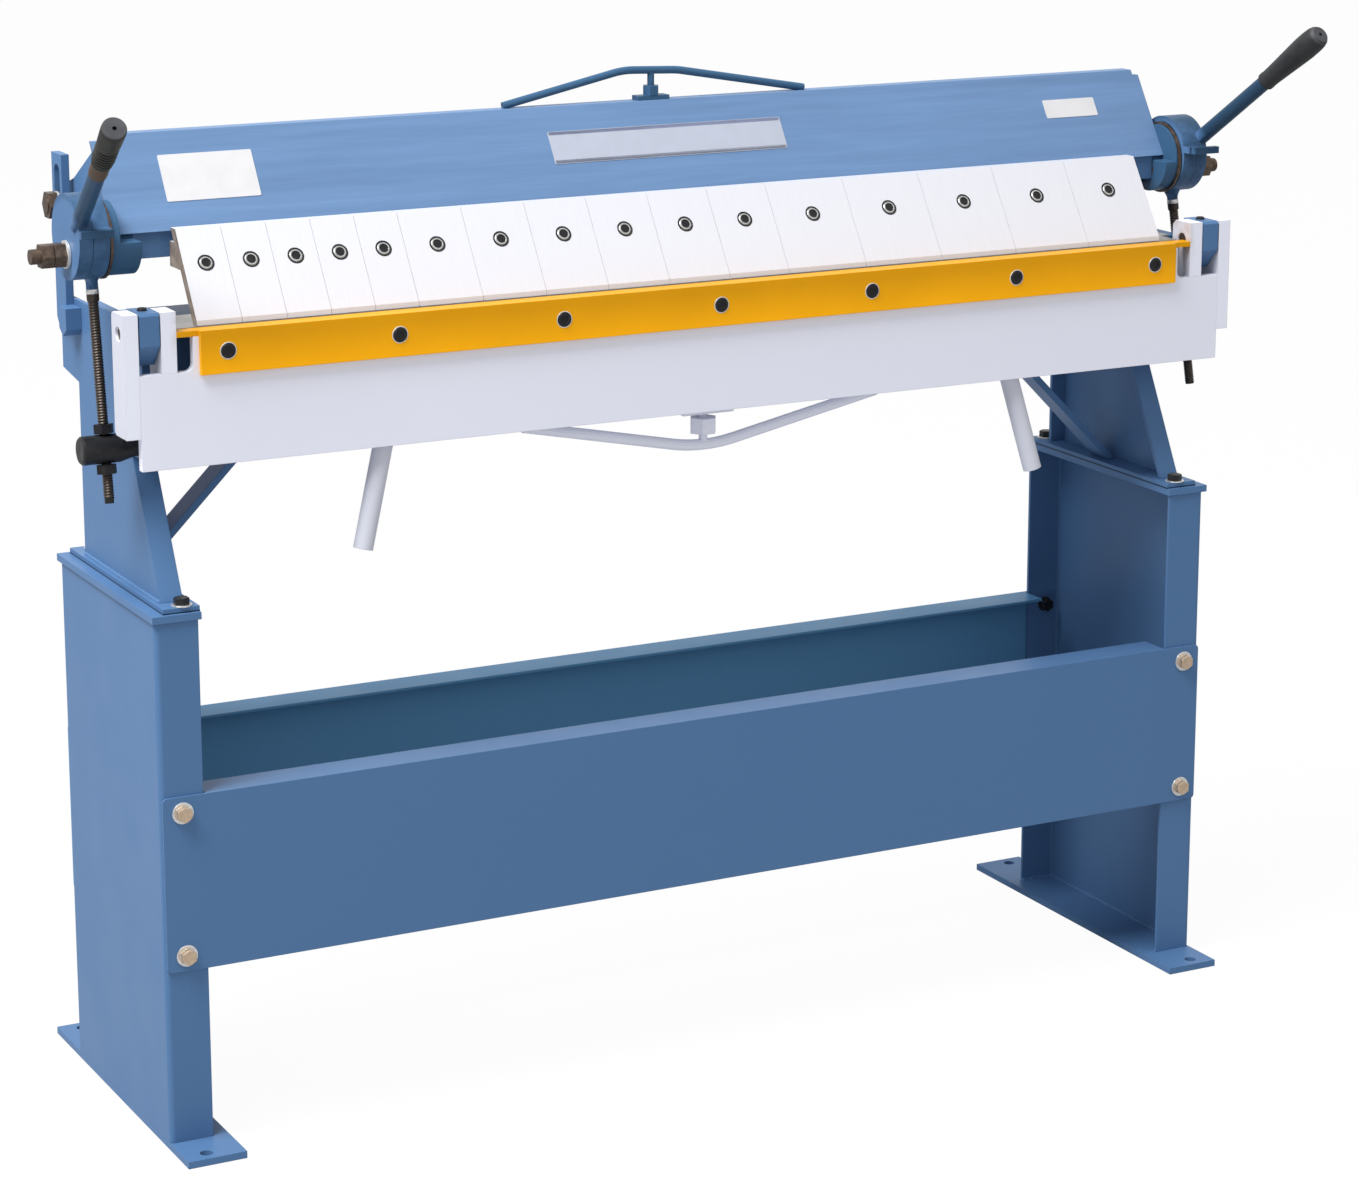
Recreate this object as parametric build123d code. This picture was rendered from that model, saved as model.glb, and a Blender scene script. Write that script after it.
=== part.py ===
"""Box and pan brake: a floor-standing hand folder for sheet metal, 1220 mm wide.

Millimetres. +Z is up, +X runs along the bed and -Y is the front, where the operator stands.
The origin is on the floor, midway between the four anchor holes.
Two channel legs carry the end frames and the bed. The clamping beam with its row of fingers
swings on two rear bolts and is pulled down by an eccentric lever at each end. The folding
apron swings up on pins in line with the front edge of the bed.
"""
import math
import os
from typing import NamedTuple

from build123d import *

# Overall sizes
fold_length = 1219.2
inch = fold_length / 48
finger_widths = [2 * inch] * 5 + [3 * inch] * 6 + [4 * inch] * 5
finger_gap = 0.4
few_sides = 12

# Stand
hinge_y = -154.0
leg_outer = fold_length / 2 + 63.4
leg_flange = 49.0
leg_depth = 312.0
leg_sheet = 4.0
leg_bend = 6.0
foot_length = 448.0
foot_width = 67.0
foot_thick = 8.0
anchor_hole = 14.0
anchor_inset = 16.0
anchor_side = 26.0
leg_height = 586.0
cap_thick = 8.0
cap_over = 3.0
front = hinge_y - 14.0
back = front + leg_depth
leg_top = foot_thick + leg_height
cap_top = leg_top + cap_thick

# Panels between the legs
panel_bottom = 204.0
panel_height = 197.0
panel_sheet = 3.0
panel_inset = 2.0
panel_lip = 40.0
panel_bend = 5.0

# End frames
base_thick = 6.0
base_width = 41.0
base_inset = 5.0
base_top = cap_top + base_thick
frame_height = 297.0
bed_height = base_top + frame_height
web_outer = leg_outer - 18.0
web_thick = 5.0
frame_flange = 25.0
frame_toe = front + 28.0
frame_knee = (-62.0, bed_height - 148.0)
frame_heel = 109.0
ear_back = 163.0
ear_low = bed_height - 93.0
ear_rise = 8.0
web_top = bed_height - 8.0
strut_thick = 8.0
strut_wide = 34.0
strut_foot = web_outer - 9.0

# Bed
bed_plate = 12.0
end_plate_outer = web_outer + 3.0
bed_half = end_plate_outer - 24.0
bed_shoulder = -118.0
bed_nose = 3.0
bed_plate_back = -78.0
bed_back = 45.0
bed_sheet = 8.0
bed_web_front = -112.0
bed_bottom = bed_height - 135.0
end_plate_thick = 12.0
end_plate_drop = 2.0
end_plate_back = 60.0
end_plate_bottom = frame_knee[1]

# Folding apron
hinge_z = bed_height
apron_face = front - 4.0
apron_sheet = 10.0
apron_half = end_plate_outer + 23.5
apron_bottom = bed_height - 145.0
apron_lip = 52.0
apron_lip_thick = 8.0
apron_top = hinge_z - 6.0
slot_bottom = bed_height - 43.0
notch_round = 8.0
cheek_thick = 16.0
cheek_inner = end_plate_outer - 18.0
notch_start = cheek_inner - 18.0
apron_lip_half = notch_start - 7.0
cheek_back = hinge_y + 19.0
cheek_top = bed_height + 22.0
cheek_bottom = bed_height - 110.0
blade_half = notch_start - 6.5
blade_sheet = 6.0
blade_drop = 47.0
blade_back = hinge_y - 2.0
pin_radius = 8.0
run_fit = 0.05
lug_outer = apron_half - 1.5
lug_front = apron_face
lug_back = -60.0
lug_tail_thick = 10.0
lug_top = bed_height + 22.0
lug_knee = -132.0
lug_slope_end = -120.0
lug_bottom = bed_height - 36.0
lug_bevel = 23.0
handle_radius = 11.0
handle_x = 400.0
handle_splay = 14.8
handle_lean = 4.7
handle_drop = 118.0
handle_seat = 44.0

# Clamping beam
pivot_y = 133.0
pivot_z = bed_height + 95.0
pivot_radius = 9.0
beam_sheet = 5.0
beam_end_outer = end_plate_outer - 8.0
beam_left = beam_end_outer + 24.0
beam_right = beam_end_outer + 14.0
beam_top_half = beam_end_outer + 6.0
beam_foot = (-77.0, bed_height + 91.0)
beam_ridge = (-14.0, bed_height + 189.0)
beam_ridge_back = (4.0, beam_ridge[1])
beam_tail = (116.0, bed_height + 126.0)
beam_tail_drop = 22.0
beam_step = beam_ridge[1] - 6.0
beam_end_thick = 12.0
bar_front = -73.0
bar_back = -52.0
bar_bottom = bed_height + 63.0
bracket_bottom = bed_height + 50.0
finger_top = (-92.0, bed_height + 95.0)
finger_nose_land = 14.3
finger_nose_rise = 5.5
finger_lift = 0.5
finger_lug_back = bar_front - 0.3
finger_lug_bottom = bed_height + 53.0
finger_lug_top = bed_height + 80.0
finger_screw_z = bed_height + 61.0

# Socket screws of the blade and the fingers
screw_radius = 7.4
screw_rim = 9.5
screw_rim_proud = 0.8
screw_proud = 1.2

# Bolts and screws
bolt_across = 19.0
bolt_head = 8.0
bolt_washer = 12.0
panel_bolt_x = leg_outer - 24.0
panel_bolt_low = 18.0
frame_bolt_x = leg_outer - 35.0
frame_bolt_front = 11.0
frame_bolt_back = 16.0
blade_screw_end = 30.0
blade_screws_across = 7
blade_screw_z = bed_height - 23.0

# Eccentric clamps, one at each end
shaft_y = -68.0
shaft_z = bed_height + 73.0
shaft_radius = 8.0
cam_y = -64.0
cam_z = bed_height + 91.0
cam_radius = 46.0
cam_thick = 15.0
cam_gap = 0.5
strap_inner = lug_outer + 7.0
right_inset = 16.0
strap_thick = 18.0
strap_bore = 39.0
eccentric_radius = 29.0
boss_radius = 40.0
bush_radius = 43.0
bush_thick = 3.0
bush_gap = 1.5
shaft_beyond = 41.0
nut_across = 24.0
nut_thick = 13.0
washer_radius = 15.0
washer_thick = 3.0
trunnion_y = -96.0
trunnion_z = bed_height - 133.0
trunnion_radius = 15.5
trunnion_shoulder = end_plate_outer + 23.0
trunnion_outer = trunnion_shoulder + 43.0
trunnion_shank = 11.0
trunnion_taper = 17.0
rod_radius = 5.0
rod_foot_left = strap_inner + 9.0
rod_foot_right = strap_inner + 4.0
rod_below = 58.0
neck_length = 22.0
neck_radius = 6.5
rod_nut_across = 19.0
rod_nut_thick = 10.0
lever_radius = 9.0
lever_out = 10.0
lever_start_y = -92.0
lever_start_z = cam_z + 15.0
lever_end_left = (strap_inner + 51.0, -285.0, cam_z + 141.0)
lever_end_right = (strap_inner + 51.0, -281.0, cam_z + 162.0)
grip_length = 104.0
grip_thin = 10.8
grip_fat = 13.5
grip_cap = 5.0
stop_bar = 8.0
stop_rise = 6.0
stop_gap = 11.0

# Slotted bars that hold the rear pivot bolts
bar_wide = 34.0
bar_thick = 9.0
bar_low = bed_height - 40.0
bar_high = pivot_z + 57.0
slot_wide = 18.4
slot_low = pivot_z - 15.0
slot_high = pivot_z + 45.0
pivot_nut_across = 28.0
pivot_nut_thick = 10.0
pivot_washer = 15.0
pivot_bolt_end = 1.5

# Truss rods that keep the beam and the apron straight
beam_truss_left = (-187.0, -35.0)
beam_truss_right = (200.0, 34.0)
beam_truss_rise = (35.0, 32.0)
beam_truss_radius = 4.5
beam_truss_y = -5.0
beam_truss_bend = 100.0
apron_truss_half = 226.0
apron_truss_drop = 50.0
apron_truss_radius = 6.5
apron_truss_y = -134.0
apron_truss_bend = 200.0


class Gear(NamedTuple):
    """Where the clamp gear stands at one end of the bed, measured outwards from the middle."""

    ring: float
    reach: float
    foot: float
    tip: tuple


gears = {
    "right": Gear(strap_inner - right_inset, beam_right, rod_foot_right, lever_end_right),
    "left": Gear(strap_inner, beam_left, rod_foot_left, lever_end_left),
}


def save(shape, name):
    """Write one sub-part to its own file."""
    export_step(shape, f"parts/{name}.step")


def block(x0, x1, y0, y1, z0, z1):
    """A plain bar or plate between these limits."""
    return Pos((x0 + x1) / 2, (y0 + y1) / 2, (z0 + z1) / 2) * Box(x1 - x0, y1 - y0, z1 - z0)


def prism(points, x0, x1):
    """A plate with this outline in the side view, between two places along the bed."""
    outline = make_face(Polyline(*points, close=True))
    return Plane.YZ.offset(x0) * extrude(outline, x1 - x0)


def bar_x(y, z, radius, x0, x1):
    """A round bar along the bed."""
    return Plane.YZ.offset(x0) * Pos(y, z, (x1 - x0) / 2) * Cylinder(radius, x1 - x0)


def nut_x(y, z, across, x0, x1):
    """A hexagon nut on a round bar along the bed."""
    outline = RegularPolygon(across / 2, 6, major_radius=False)
    return Plane.YZ.offset(x0) * Pos(y, z, 0) * extrude(outline, x1 - x0)


def rod_between(start, end, radius):
    """A round rod from one point to another."""
    axis = Vector(*end) - Vector(*start)
    plane = Plane(origin=start, z_dir=axis)
    return plane * extrude(Circle(radius), axis.length)


def other_side(shape):
    """The same piece at the opposite end of the bed."""
    return mirror(shape, about=Plane.YZ)


def folded(points, thickness):
    """Outline of a folded sheet: the points are its outer side, and the metal lies on their right."""
    inner = []
    last = len(points) - 1
    for i, point in enumerate(points):
        before = points[max(i - 1, 0)]
        after = points[min(i + 1, last)]
        first = Vector(point[0] - before[0], point[1] - before[1]) if i else None
        second = Vector(after[0] - point[0], after[1] - point[1]) if i < last else None
        ways = [way.normalized() for way in (first, second) if way]
        normals = [Vector(way.Y, -way.X) for way in ways]
        middle = sum(normals[1:], normals[0]).normalized()
        reach = thickness / middle.dot(normals[0])
        inner.append((point[0] + middle.X * reach, point[1] + middle.Y * reach))
    return list(points) + inner[::-1]


def stand_leg():
    """Right leg: a channel folded from sheet, its web outwards and its flanges inwards."""
    section = RectangleRounded(2 * leg_flange, leg_depth, leg_bend)
    section -= RectangleRounded(2 * (leg_flange - leg_sheet), leg_depth - 2 * leg_sheet,
                                leg_bend - leg_sheet)
    section &= Pos(leg_flange / 2, 0) * Rectangle(leg_flange, leg_depth + 2)
    middle = (front + back) / 2
    return Pos(leg_outer - leg_flange, middle, foot_thick) * extrude(section, leg_height)


def hex_bolt(across, height, washer):
    """Head of a hexagon bolt on its washer, standing on a surface at z = 0."""
    disc = extrude(RegularPolygon(washer, few_sides), 2)
    return disc + Pos(0, 0, 2) * extrude(RegularPolygon(across / 2, 6, major_radius=False), height)


def socket_screw():
    """A socket screw in its seat, nearly flush with a surface at z = 0."""
    head = extrude(RegularPolygon(screw_rim, few_sides), screw_rim_proud)
    head += extrude(RegularPolygon(screw_radius, few_sides), screw_proud)
    return head - extrude(RegularPolygon(screw_radius * 0.55, 6), screw_proud + 1)


def foot_plate():
    """Right foot: a flat plate under the leg with an anchor hole at each end."""
    plate = block(leg_outer - foot_width, leg_outer, -foot_length / 2, foot_length / 2, 0, foot_thick)
    for end in (-1, 1):
        place = Pos(leg_outer - anchor_side, end * (foot_length / 2 - anchor_inset), foot_thick / 2)
        plate -= place * Cylinder(anchor_hole / 2, 2 * foot_thick)
    return plate


def leg_cap():
    """Right cap: a plate welded over the top of the leg."""
    return block(leg_outer - leg_flange - cap_over, leg_outer + cap_over,
                 front - cap_over, back + cap_over, leg_top, cap_top)


def stand_panel(face, inward):
    """A panel bolted across the legs, folded inwards along its top and bottom between them."""
    half = leg_outer - panel_inset
    inner_half = leg_outer - leg_flange - panel_inset
    plate = block(-half, half, min(face, face - inward * panel_sheet),
                  max(face, face - inward * panel_sheet), panel_bottom, panel_bottom + panel_height)
    corners = plate.edges().filter_by(Axis.Y)
    plate = fillet(corners, panel_bend)
    for low in (panel_bottom, panel_bottom + panel_height - panel_sheet):
        ends = sorted((face, face + inward * panel_lip))
        plate += block(-inner_half, inner_half, ends[0], ends[1], low, low + panel_sheet)
    return plate


def frame_web():
    """Side view of the end frame: a sloping front edge, and an ear at the upper rear."""
    return [(frame_toe, base_top), (frame_heel, base_top), (frame_heel, ear_low - ear_rise),
            (ear_back, ear_low), (ear_back, web_top), (end_plate_back, web_top),
            (end_plate_back, frame_knee[1]), frame_knee]


def end_frame():
    """Right end frame: an outer web with a flange folded in along its front and rear edges."""
    outer = web_outer
    inner = web_outer - frame_flange
    web = prism(frame_web(), outer - web_thick, outer)
    slope = folded([(frame_toe, base_top), frame_knee], web_thick)
    low = min(point[1] for point in slope)
    front_flange = prism(slope, inner, outer) - block(inner - 1, outer + 1, front, back, low - 1, base_top)
    rear_flange = block(inner, outer, frame_heel - web_thick, frame_heel, base_top, ear_low - ear_rise)
    return web + front_flange + rear_flange


def frame_base():
    """Right base plate of the end frame, bolted down on the leg cap."""
    inner = leg_outer - leg_flange - cap_over
    return block(inner, inner + base_width, front + base_inset - cap_over,
                 back - base_inset + cap_over, cap_top, base_top)


def end_strut():
    """Right strut: a flat bar at 45 degrees from the foot of the end frame to the bed."""
    rise = bed_bottom - base_top
    lean = strut_thick * math.sqrt(2)
    outline = Polyline((strut_foot, base_top), (strut_foot - lean, base_top),
                       (strut_foot - lean - rise, bed_bottom), (strut_foot - rise, bed_bottom), close=True)
    bar = Plane.XZ.offset(-strut_wide / 2) * extrude(make_face(outline), strut_wide)
    return bar


def panel_bolts():
    """The eight bolts that hold the two panels to the legs, each with its nut inside the leg."""
    bolts = []
    for side in (-1, 1):
        for z in (panel_bottom + panel_bolt_low, panel_bottom + panel_height - panel_bolt_low):
            for face, way in ((front, -1), (back, 1)):
                outside = Plane(origin=(side * panel_bolt_x, face + way * panel_sheet, z), z_dir=(0, way, 0))
                inside = Plane(origin=(side * panel_bolt_x, face - way * leg_sheet, z), z_dir=(0, -way, 0))
                bolts.append(outside * hex_bolt(bolt_across, bolt_head, bolt_washer))
                bolts.append(inside * hex_bolt(bolt_across, bolt_head + 3, bolt_washer))
    return Compound(children=bolts)


def frame_bolts(side):
    """The two bolts that hold one end frame down on its leg cap."""
    bolts = []
    for y in (front + frame_bolt_front, back - frame_bolt_back):
        bolts.append(Pos(side * frame_bolt_x, y, base_top) * hex_bolt(bolt_across, bolt_head, bolt_washer))
    return Compound(children=bolts)


def blade_screws():
    """The row of socket screws that hold the blade to the apron."""
    screws = []
    reach = blade_half - blade_screw_end
    for i in range(blade_screws_across):
        x = reach * (2 * i / (blade_screws_across - 1) - 1)
        face = Plane(origin=(x, apron_face - blade_sheet, blade_screw_z), z_dir=(0, -1, 0))
        screws.append(face * socket_screw())
    return Compound(children=screws)


def finger_screws():
    """One socket screw through the middle of each finger."""
    slope = (finger_top[0] - hinge_y) / (finger_top[1] - hinge_z)
    away = Vector(0, -1, slope)
    y = hinge_y + slope * (finger_screw_z - hinge_z)
    screws = []
    x = -fold_length / 2
    for width in finger_widths:
        face = Plane(origin=(x + width / 2, y, finger_screw_z), x_dir=(1, 0, 0), z_dir=away)
        screws.append(face * socket_screw())
        x += width
    return Compound(children=screws)


def bed_top():
    """Steel bed plate, its front edge in line with the apron hinge and bevelled underneath."""
    nose = hinge_y + bed_nose
    points = [(nose, bed_height), (nose, bed_height - bed_plate / 2),
              (nose + 2 * bed_plate, bed_height - bed_plate), (bed_plate_back, bed_height - bed_plate),
              (bed_plate_back, bed_height)]
    half = end_plate_outer - end_plate_thick
    plate = prism(points, -half, half)
    for side in (-1, 1):
        ends = sorted((side * bed_half, side * (half + 1)))
        plate -= block(ends[0], ends[1], nose - 1, bed_shoulder, bed_height - bed_plate - 1, bed_height + 1)
    return plate


def bed_trough():
    """Box tube under the bed plate, from one end plate to the other."""
    top = bed_height - bed_plate
    half = end_plate_outer - end_plate_thick
    tube = block(-half, half, bed_web_front, bed_back, bed_bottom, top)
    return tube - block(-half - 1, half + 1, bed_web_front + bed_sheet, bed_back - bed_sheet,
                        bed_bottom + bed_sheet, top - bed_sheet)


def end_plate():
    """Right end plate of the bed, with the trunnion hole of the clamp and the bearing lug of the apron."""
    inner = end_plate_outer - end_plate_thick
    points = [(bed_web_front, end_plate_bottom), (end_plate_back, end_plate_bottom),
              (end_plate_back, bed_height - end_plate_drop), (bed_web_front, bed_height - end_plate_drop)]
    plate = prism(points, inner, end_plate_outer)
    plate -= bar_x(trunnion_y, trunnion_z, trunnion_shank + run_fit, inner - 1, end_plate_outer + 1)
    return plate


def hinge_lug():
    """Right lug: the forward bearing of the apron hinge, its thinner tail welded along the end plate."""
    tail = bed_height - end_plate_drop
    points = [(lug_front, lug_top - 3), (lug_front + 3, lug_top), (lug_knee, lug_top),
              (lug_slope_end, tail), (lug_slope_end, lug_bottom),
              (lug_front + lug_bevel - 2, lug_bottom), (lug_front, lug_bottom + lug_bevel)]
    lug = prism(points, end_plate_outer, lug_outer)
    lug += block(end_plate_outer, end_plate_outer + lug_tail_thick, lug_slope_end, lug_back,
                 lug_bottom, tail)
    return lug - bar_x(hinge_y, hinge_z, pin_radius, end_plate_outer - 1, lug_outer + 1)


def hinge_pin():
    """Right hinge pin: held in the lug, with a cheek of the apron turning on each end."""
    return bar_x(hinge_y, hinge_z, pin_radius, cheek_inner + 2, apron_half + cheek_thick - 3)


def apron_plate():
    """Front plate of the apron with its lower lip, cut down beside the blade and round the lugs."""
    depth = apron_face + apron_sheet
    plate = block(-apron_half, apron_half, apron_face, depth, apron_bottom, apron_top)
    plate += block(-apron_lip_half, apron_lip_half, depth, apron_face + apron_lip,
                   apron_bottom, apron_bottom + apron_lip_thick)
    for side in (-1, 1):
        ends = sorted((side * notch_start, side * (apron_half + 1)))
        notch = block(ends[0], ends[1], apron_face - 1, depth + 1, slot_bottom, apron_top + 1)
        low = notch.edges().filter_by(Axis.Y).group_by(Axis.Z)[0]
        corner = low.sort_by(lambda edge: abs(edge.center().X))[0]
        plate -= fillet(corner, notch_round)
        plate -= rod_between(handle_top(side), handle_point(side, handle_seat + 20), handle_radius + run_fit)
    return plate


def handle_direction(side):
    """The way an apron handle points: down, outwards and a little forward."""
    splay = math.tan(math.radians(handle_splay))
    lean = math.tan(math.radians(handle_lean))
    return Vector(side * splay, -lean, -1).normalized()


def handle_top(side):
    """Upper end of an apron handle, behind the front plate."""
    way = handle_direction(side)
    root = Vector(side * handle_x, apron_face + apron_sheet + handle_radius + 1.5, apron_bottom)
    return tuple(root - way * handle_seat)


def handle_point(side, along):
    """A point on the axis of an apron handle, measured down from its upper end."""
    return tuple(Vector(*handle_top(side)) + handle_direction(side) * along)


def apron_handle(side):
    """One apron handle: a tube through the lower lip with a bored, open end."""
    length = handle_seat + handle_drop
    tube = rod_between(handle_top(side), handle_point(side, length), handle_radius)
    bore = rod_between(handle_point(side, 4), handle_point(side, length + 1), handle_radius - 2.5)
    return tube - bore


def outer_cheek():
    """Right outer cheek of the apron, outside the end of its plate."""
    cheek = block(apron_half, apron_half + cheek_thick, apron_face, cheek_back, cheek_bottom, cheek_top)
    cheek = fillet(cheek.edges().filter_by(Axis.X).sort_by(Axis.Y)[-2:], 6)
    return cheek - bar_x(hinge_y, hinge_z, pin_radius + run_fit, apron_half - 1, apron_half + cheek_thick + 1)


def inner_cheek():
    """Right inner cheek of the apron, seated on its plate between the blade and the lug."""
    depth = apron_face + apron_sheet
    points = [(apron_face, slot_bottom), (apron_face, cheek_top), (cheek_back - 6, cheek_top),
              (cheek_back, cheek_top - 6), (cheek_back, cheek_bottom), (depth, cheek_bottom),
              (depth, slot_bottom)]
    cheek = prism(points, cheek_inner, cheek_inner + cheek_thick + 1)
    return cheek - bar_x(hinge_y, hinge_z, pin_radius + run_fit, cheek_inner - 1, cheek_inner + cheek_thick + 2)


def blade():
    """Bending blade: an angle on the top edge of the apron, its upper leg running on to the cheeks."""
    leg = block(-blade_half, blade_half, apron_face - blade_sheet, apron_face,
                hinge_z - blade_drop, hinge_z)
    ledge = block(-cheek_inner, cheek_inner, apron_face, blade_back, apron_top, hinge_z)
    return leg + ledge


def truss(points, level, y, radius, bend):
    """A bent rod that stands off a beam: its ends run into the face of the beam at this level."""
    path = FilletPolyline(*[(x, y, z) for x, z in points], radius=bend)
    start = Plane(origin=path @ 0, z_dir=path % 0)
    rod = sweep(start * RegularPolygon(radius, few_sides), path=path)
    heights = [level] + [z + math.copysign(20, z - level) for _, z in points[1:-1]]
    ends = (points[0][0] - 20, points[-1][0] + 20)
    return rod & block(ends[0], ends[1], y - 20, y + 20, min(heights), max(heights))


def beam_truss():
    """Truss rod over the clamping beam, with its stud, nut and pad."""
    level = beam_ridge[1]
    foot = level + 0.6 * beam_truss_radius
    points = [(beam_truss_left[0], foot), (beam_truss_left[1], level + beam_truss_rise[0]),
              (beam_truss_right[1], level + beam_truss_rise[1]), (beam_truss_right[0], foot)]
    rod = truss(points, level, beam_truss_y, beam_truss_radius, beam_truss_bend)
    stud = Pos(0, beam_truss_y, level) * extrude(RegularPolygon(4, few_sides), beam_truss_rise[1])
    nut = Pos(0, beam_truss_y, level + 5) * extrude(RegularPolygon(8.5, 6, major_radius=False), 11)
    pad = block(-20, 20, beam_truss_y - 8, beam_truss_y + 8, level, level + 5)
    return rod + stud + nut + pad


def apron_truss():
    """Truss rod under the apron, with its stud, nut block and pad."""
    level = apron_bottom
    foot = level - 0.6 * apron_truss_radius
    points = [(-apron_truss_half, foot), (0, level - apron_truss_drop), (apron_truss_half, foot)]
    rod = truss(points, level, apron_truss_y, apron_truss_radius, apron_truss_bend)
    reach = apron_truss_drop - apron_truss_radius
    stud = Pos(0, apron_truss_y, level - reach) * extrude(RegularPolygon(5, few_sides), reach)
    nut = Pos(0, apron_truss_y, level - 32) * extrude(RegularPolygon(14, 6, major_radius=False), 18)
    pad = block(-32, 32, apron_truss_y - 14, apron_truss_y + 14, level - 8, level)
    return rod + stud + nut + pad


def beam_front():
    """Front sheet of the clamping beam, folded back along its ridge."""
    outline = folded([beam_foot, beam_ridge, beam_ridge_back], beam_sheet)
    sheet = prism(outline, -beam_left, beam_right)
    sheet -= block(-beam_left - 1, beam_right + 1, beam_foot[0] - 9, bar_back, beam_foot[1] - 9, beam_foot[1])
    for side in (-1, 1):
        ends = sorted((side * beam_top_half, side * (beam_left + 1)))
        sheet -= block(ends[0], ends[1], beam_foot[0], beam_tail[0], beam_step, beam_ridge[1] + 1)
    return sheet


def beam_rear():
    """Rear sheet of the clamping beam, from the ridge down to its tail."""
    outline = folded([beam_ridge_back, beam_tail, (beam_tail[0] - 4, beam_tail[1] - beam_tail_drop)], beam_sheet)
    half = beam_end_outer - beam_end_thick
    sheet = prism(outline, -half, half)
    ridge = beam_ridge_back
    return sheet - block(-half - 1, half + 1, ridge[0] - 9, ridge[0], ridge[1] - 2 * beam_sheet, ridge[1] + 1)


def beam_floor():
    """Bottom sheet that closes the clamping beam between its clamp bar and its rear sheet."""
    rise = beam_tail[1] - beam_tail_drop
    outline = [(bar_back, bar_bottom + 12), (bar_back, bar_bottom + 16),
               (beam_tail[0] - 9, rise + 4), (beam_tail[0] - 9, rise)]
    half = beam_end_outer - beam_end_thick
    return prism(outline, -half, half)


def clamp_bar():
    """Bar along the bottom of the clamping beam, to which the fingers are screwed."""
    return block(-beam_end_outer, beam_end_outer, bar_front, bar_back, bar_bottom, beam_foot[1])


def beam_end():
    """Right end plate of the clamping beam, running back to the eye of its rear pivot."""
    inner = beam_end_outer - beam_end_thick
    foot, ridge = folded([beam_foot, beam_ridge, beam_ridge_back], beam_sheet)[:2:-1][:2]
    slope = (ridge[0] - foot[0]) / (ridge[1] - foot[1])
    points = [(bar_back, beam_foot[1]), (foot[0] + slope * (beam_foot[1] - foot[1]), beam_foot[1]), ridge,
              (beam_ridge_back[0], ridge[1]), beam_ridge_back, beam_tail, (pivot_y + 10, pivot_z + 22),
              (pivot_y + 22, pivot_z + 8), (pivot_y + 22, pivot_z - 12), (pivot_y + 8, pivot_z - 22),
              (bar_back, bar_bottom - 8)]
    plate = prism(points, inner, beam_end_outer)
    return plate - bar_x(pivot_y, pivot_z, pivot_radius + run_fit, inner - 1, beam_end_outer + 1)


def fingers():
    """The row of fingers: sloping noses with a lug behind that seats against the clamp bar."""
    slope = (finger_top[0] - hinge_y) / (finger_top[1] - hinge_z)
    low = hinge_z + finger_lift
    nose = hinge_y + slope * (finger_lift + finger_nose_rise)

    def rear(z):
        return hinge_y + finger_nose_land + slope * (z - hinge_z)

    points = [(nose - 1, low), (nose, low + finger_nose_rise), finger_top,
              (rear(finger_top[1]), finger_top[1]), (rear(finger_lug_top), finger_lug_top),
              (finger_lug_back, finger_lug_top), (finger_lug_back, finger_lug_bottom),
              (rear(finger_lug_bottom), finger_lug_bottom), (rear(low), low)]
    solids = []
    x = -fold_length / 2
    for width in finger_widths:
        solids.append(prism(points, x + finger_gap / 2, x + width - finger_gap / 2))
        x += width
    return Compound(children=solids)


def boss_end(gear):
    """Where the shaft block ends and its bush begins."""
    return gear.ring - bush_gap - bush_thick


def disc_inner(gear):
    """Inner face of the cam disc, just clear of the strap."""
    return gear.ring + strap_thick + cam_gap


def shaft_block(gear):
    """Shaft block: the boss and bracket at the end of the beam that carry the clamp shaft."""
    boss = bar_x(cam_y, cam_z - 4, boss_radius, beam_end_outer, boss_end(gear))
    boss += block(beam_end_outer, gear.reach, bar_front, bar_back + 20, bracket_bottom, beam_foot[1])
    line = folded([beam_foot, beam_ridge], beam_sheet)[2:]
    steep = Vector(line[0][0] - line[1][0], line[0][1] - line[1][1])
    low = Vector(*line[1]) - steep * 1.2
    high = Vector(*line[0])
    outside = [(low.X, low.Y), (high.X, high.Y), (high.X - 150, high.Y), (low.X - 150, low.Y)]
    boss -= prism(outside, beam_end_outer - 1, gear.reach) & block(
        beam_end_outer - 1, gear.reach, -300, 300, beam_foot[1] - beam_sheet, beam_ridge[1] + 50)
    return boss - bar_x(shaft_y, shaft_z, shaft_radius, beam_end_outer - 1, gear.ring)


def shaft_bush(gear):
    """Bush: a bare metal disc between the shaft block and the strap."""
    disc = bar_x(cam_y, cam_z - 4, bush_radius, boss_end(gear), gear.ring - bush_gap)
    return disc - bar_x(shaft_y, shaft_z, shaft_radius, beam_end_outer, gear.ring)


def clamp_shaft(gear):
    """Clamp shaft, with the washer and two nuts that hold the lever."""
    outer = disc_inner(gear) + cam_thick
    shaft = bar_x(shaft_y, shaft_z, shaft_radius, beam_end_outer, outer + shaft_beyond)
    face = outer + cam_gap
    shaft += bar_x(shaft_y, shaft_z, washer_radius, face, face + washer_thick)
    place = face + washer_thick
    for step in (0, nut_thick + 1):
        shaft += nut_x(shaft_y, shaft_z, nut_across, place + step, place + step + nut_thick)
    return shaft


def lever_line(gear, short=0.0):
    """Start and end of the lever's axis, stopping this far short of its tip."""
    start = Vector(disc_inner(gear) + lever_out, lever_start_y, lever_start_z)
    tip = Vector(*gear.tip)
    return tuple(start), tuple(tip - (tip - start).normalized() * short)


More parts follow.
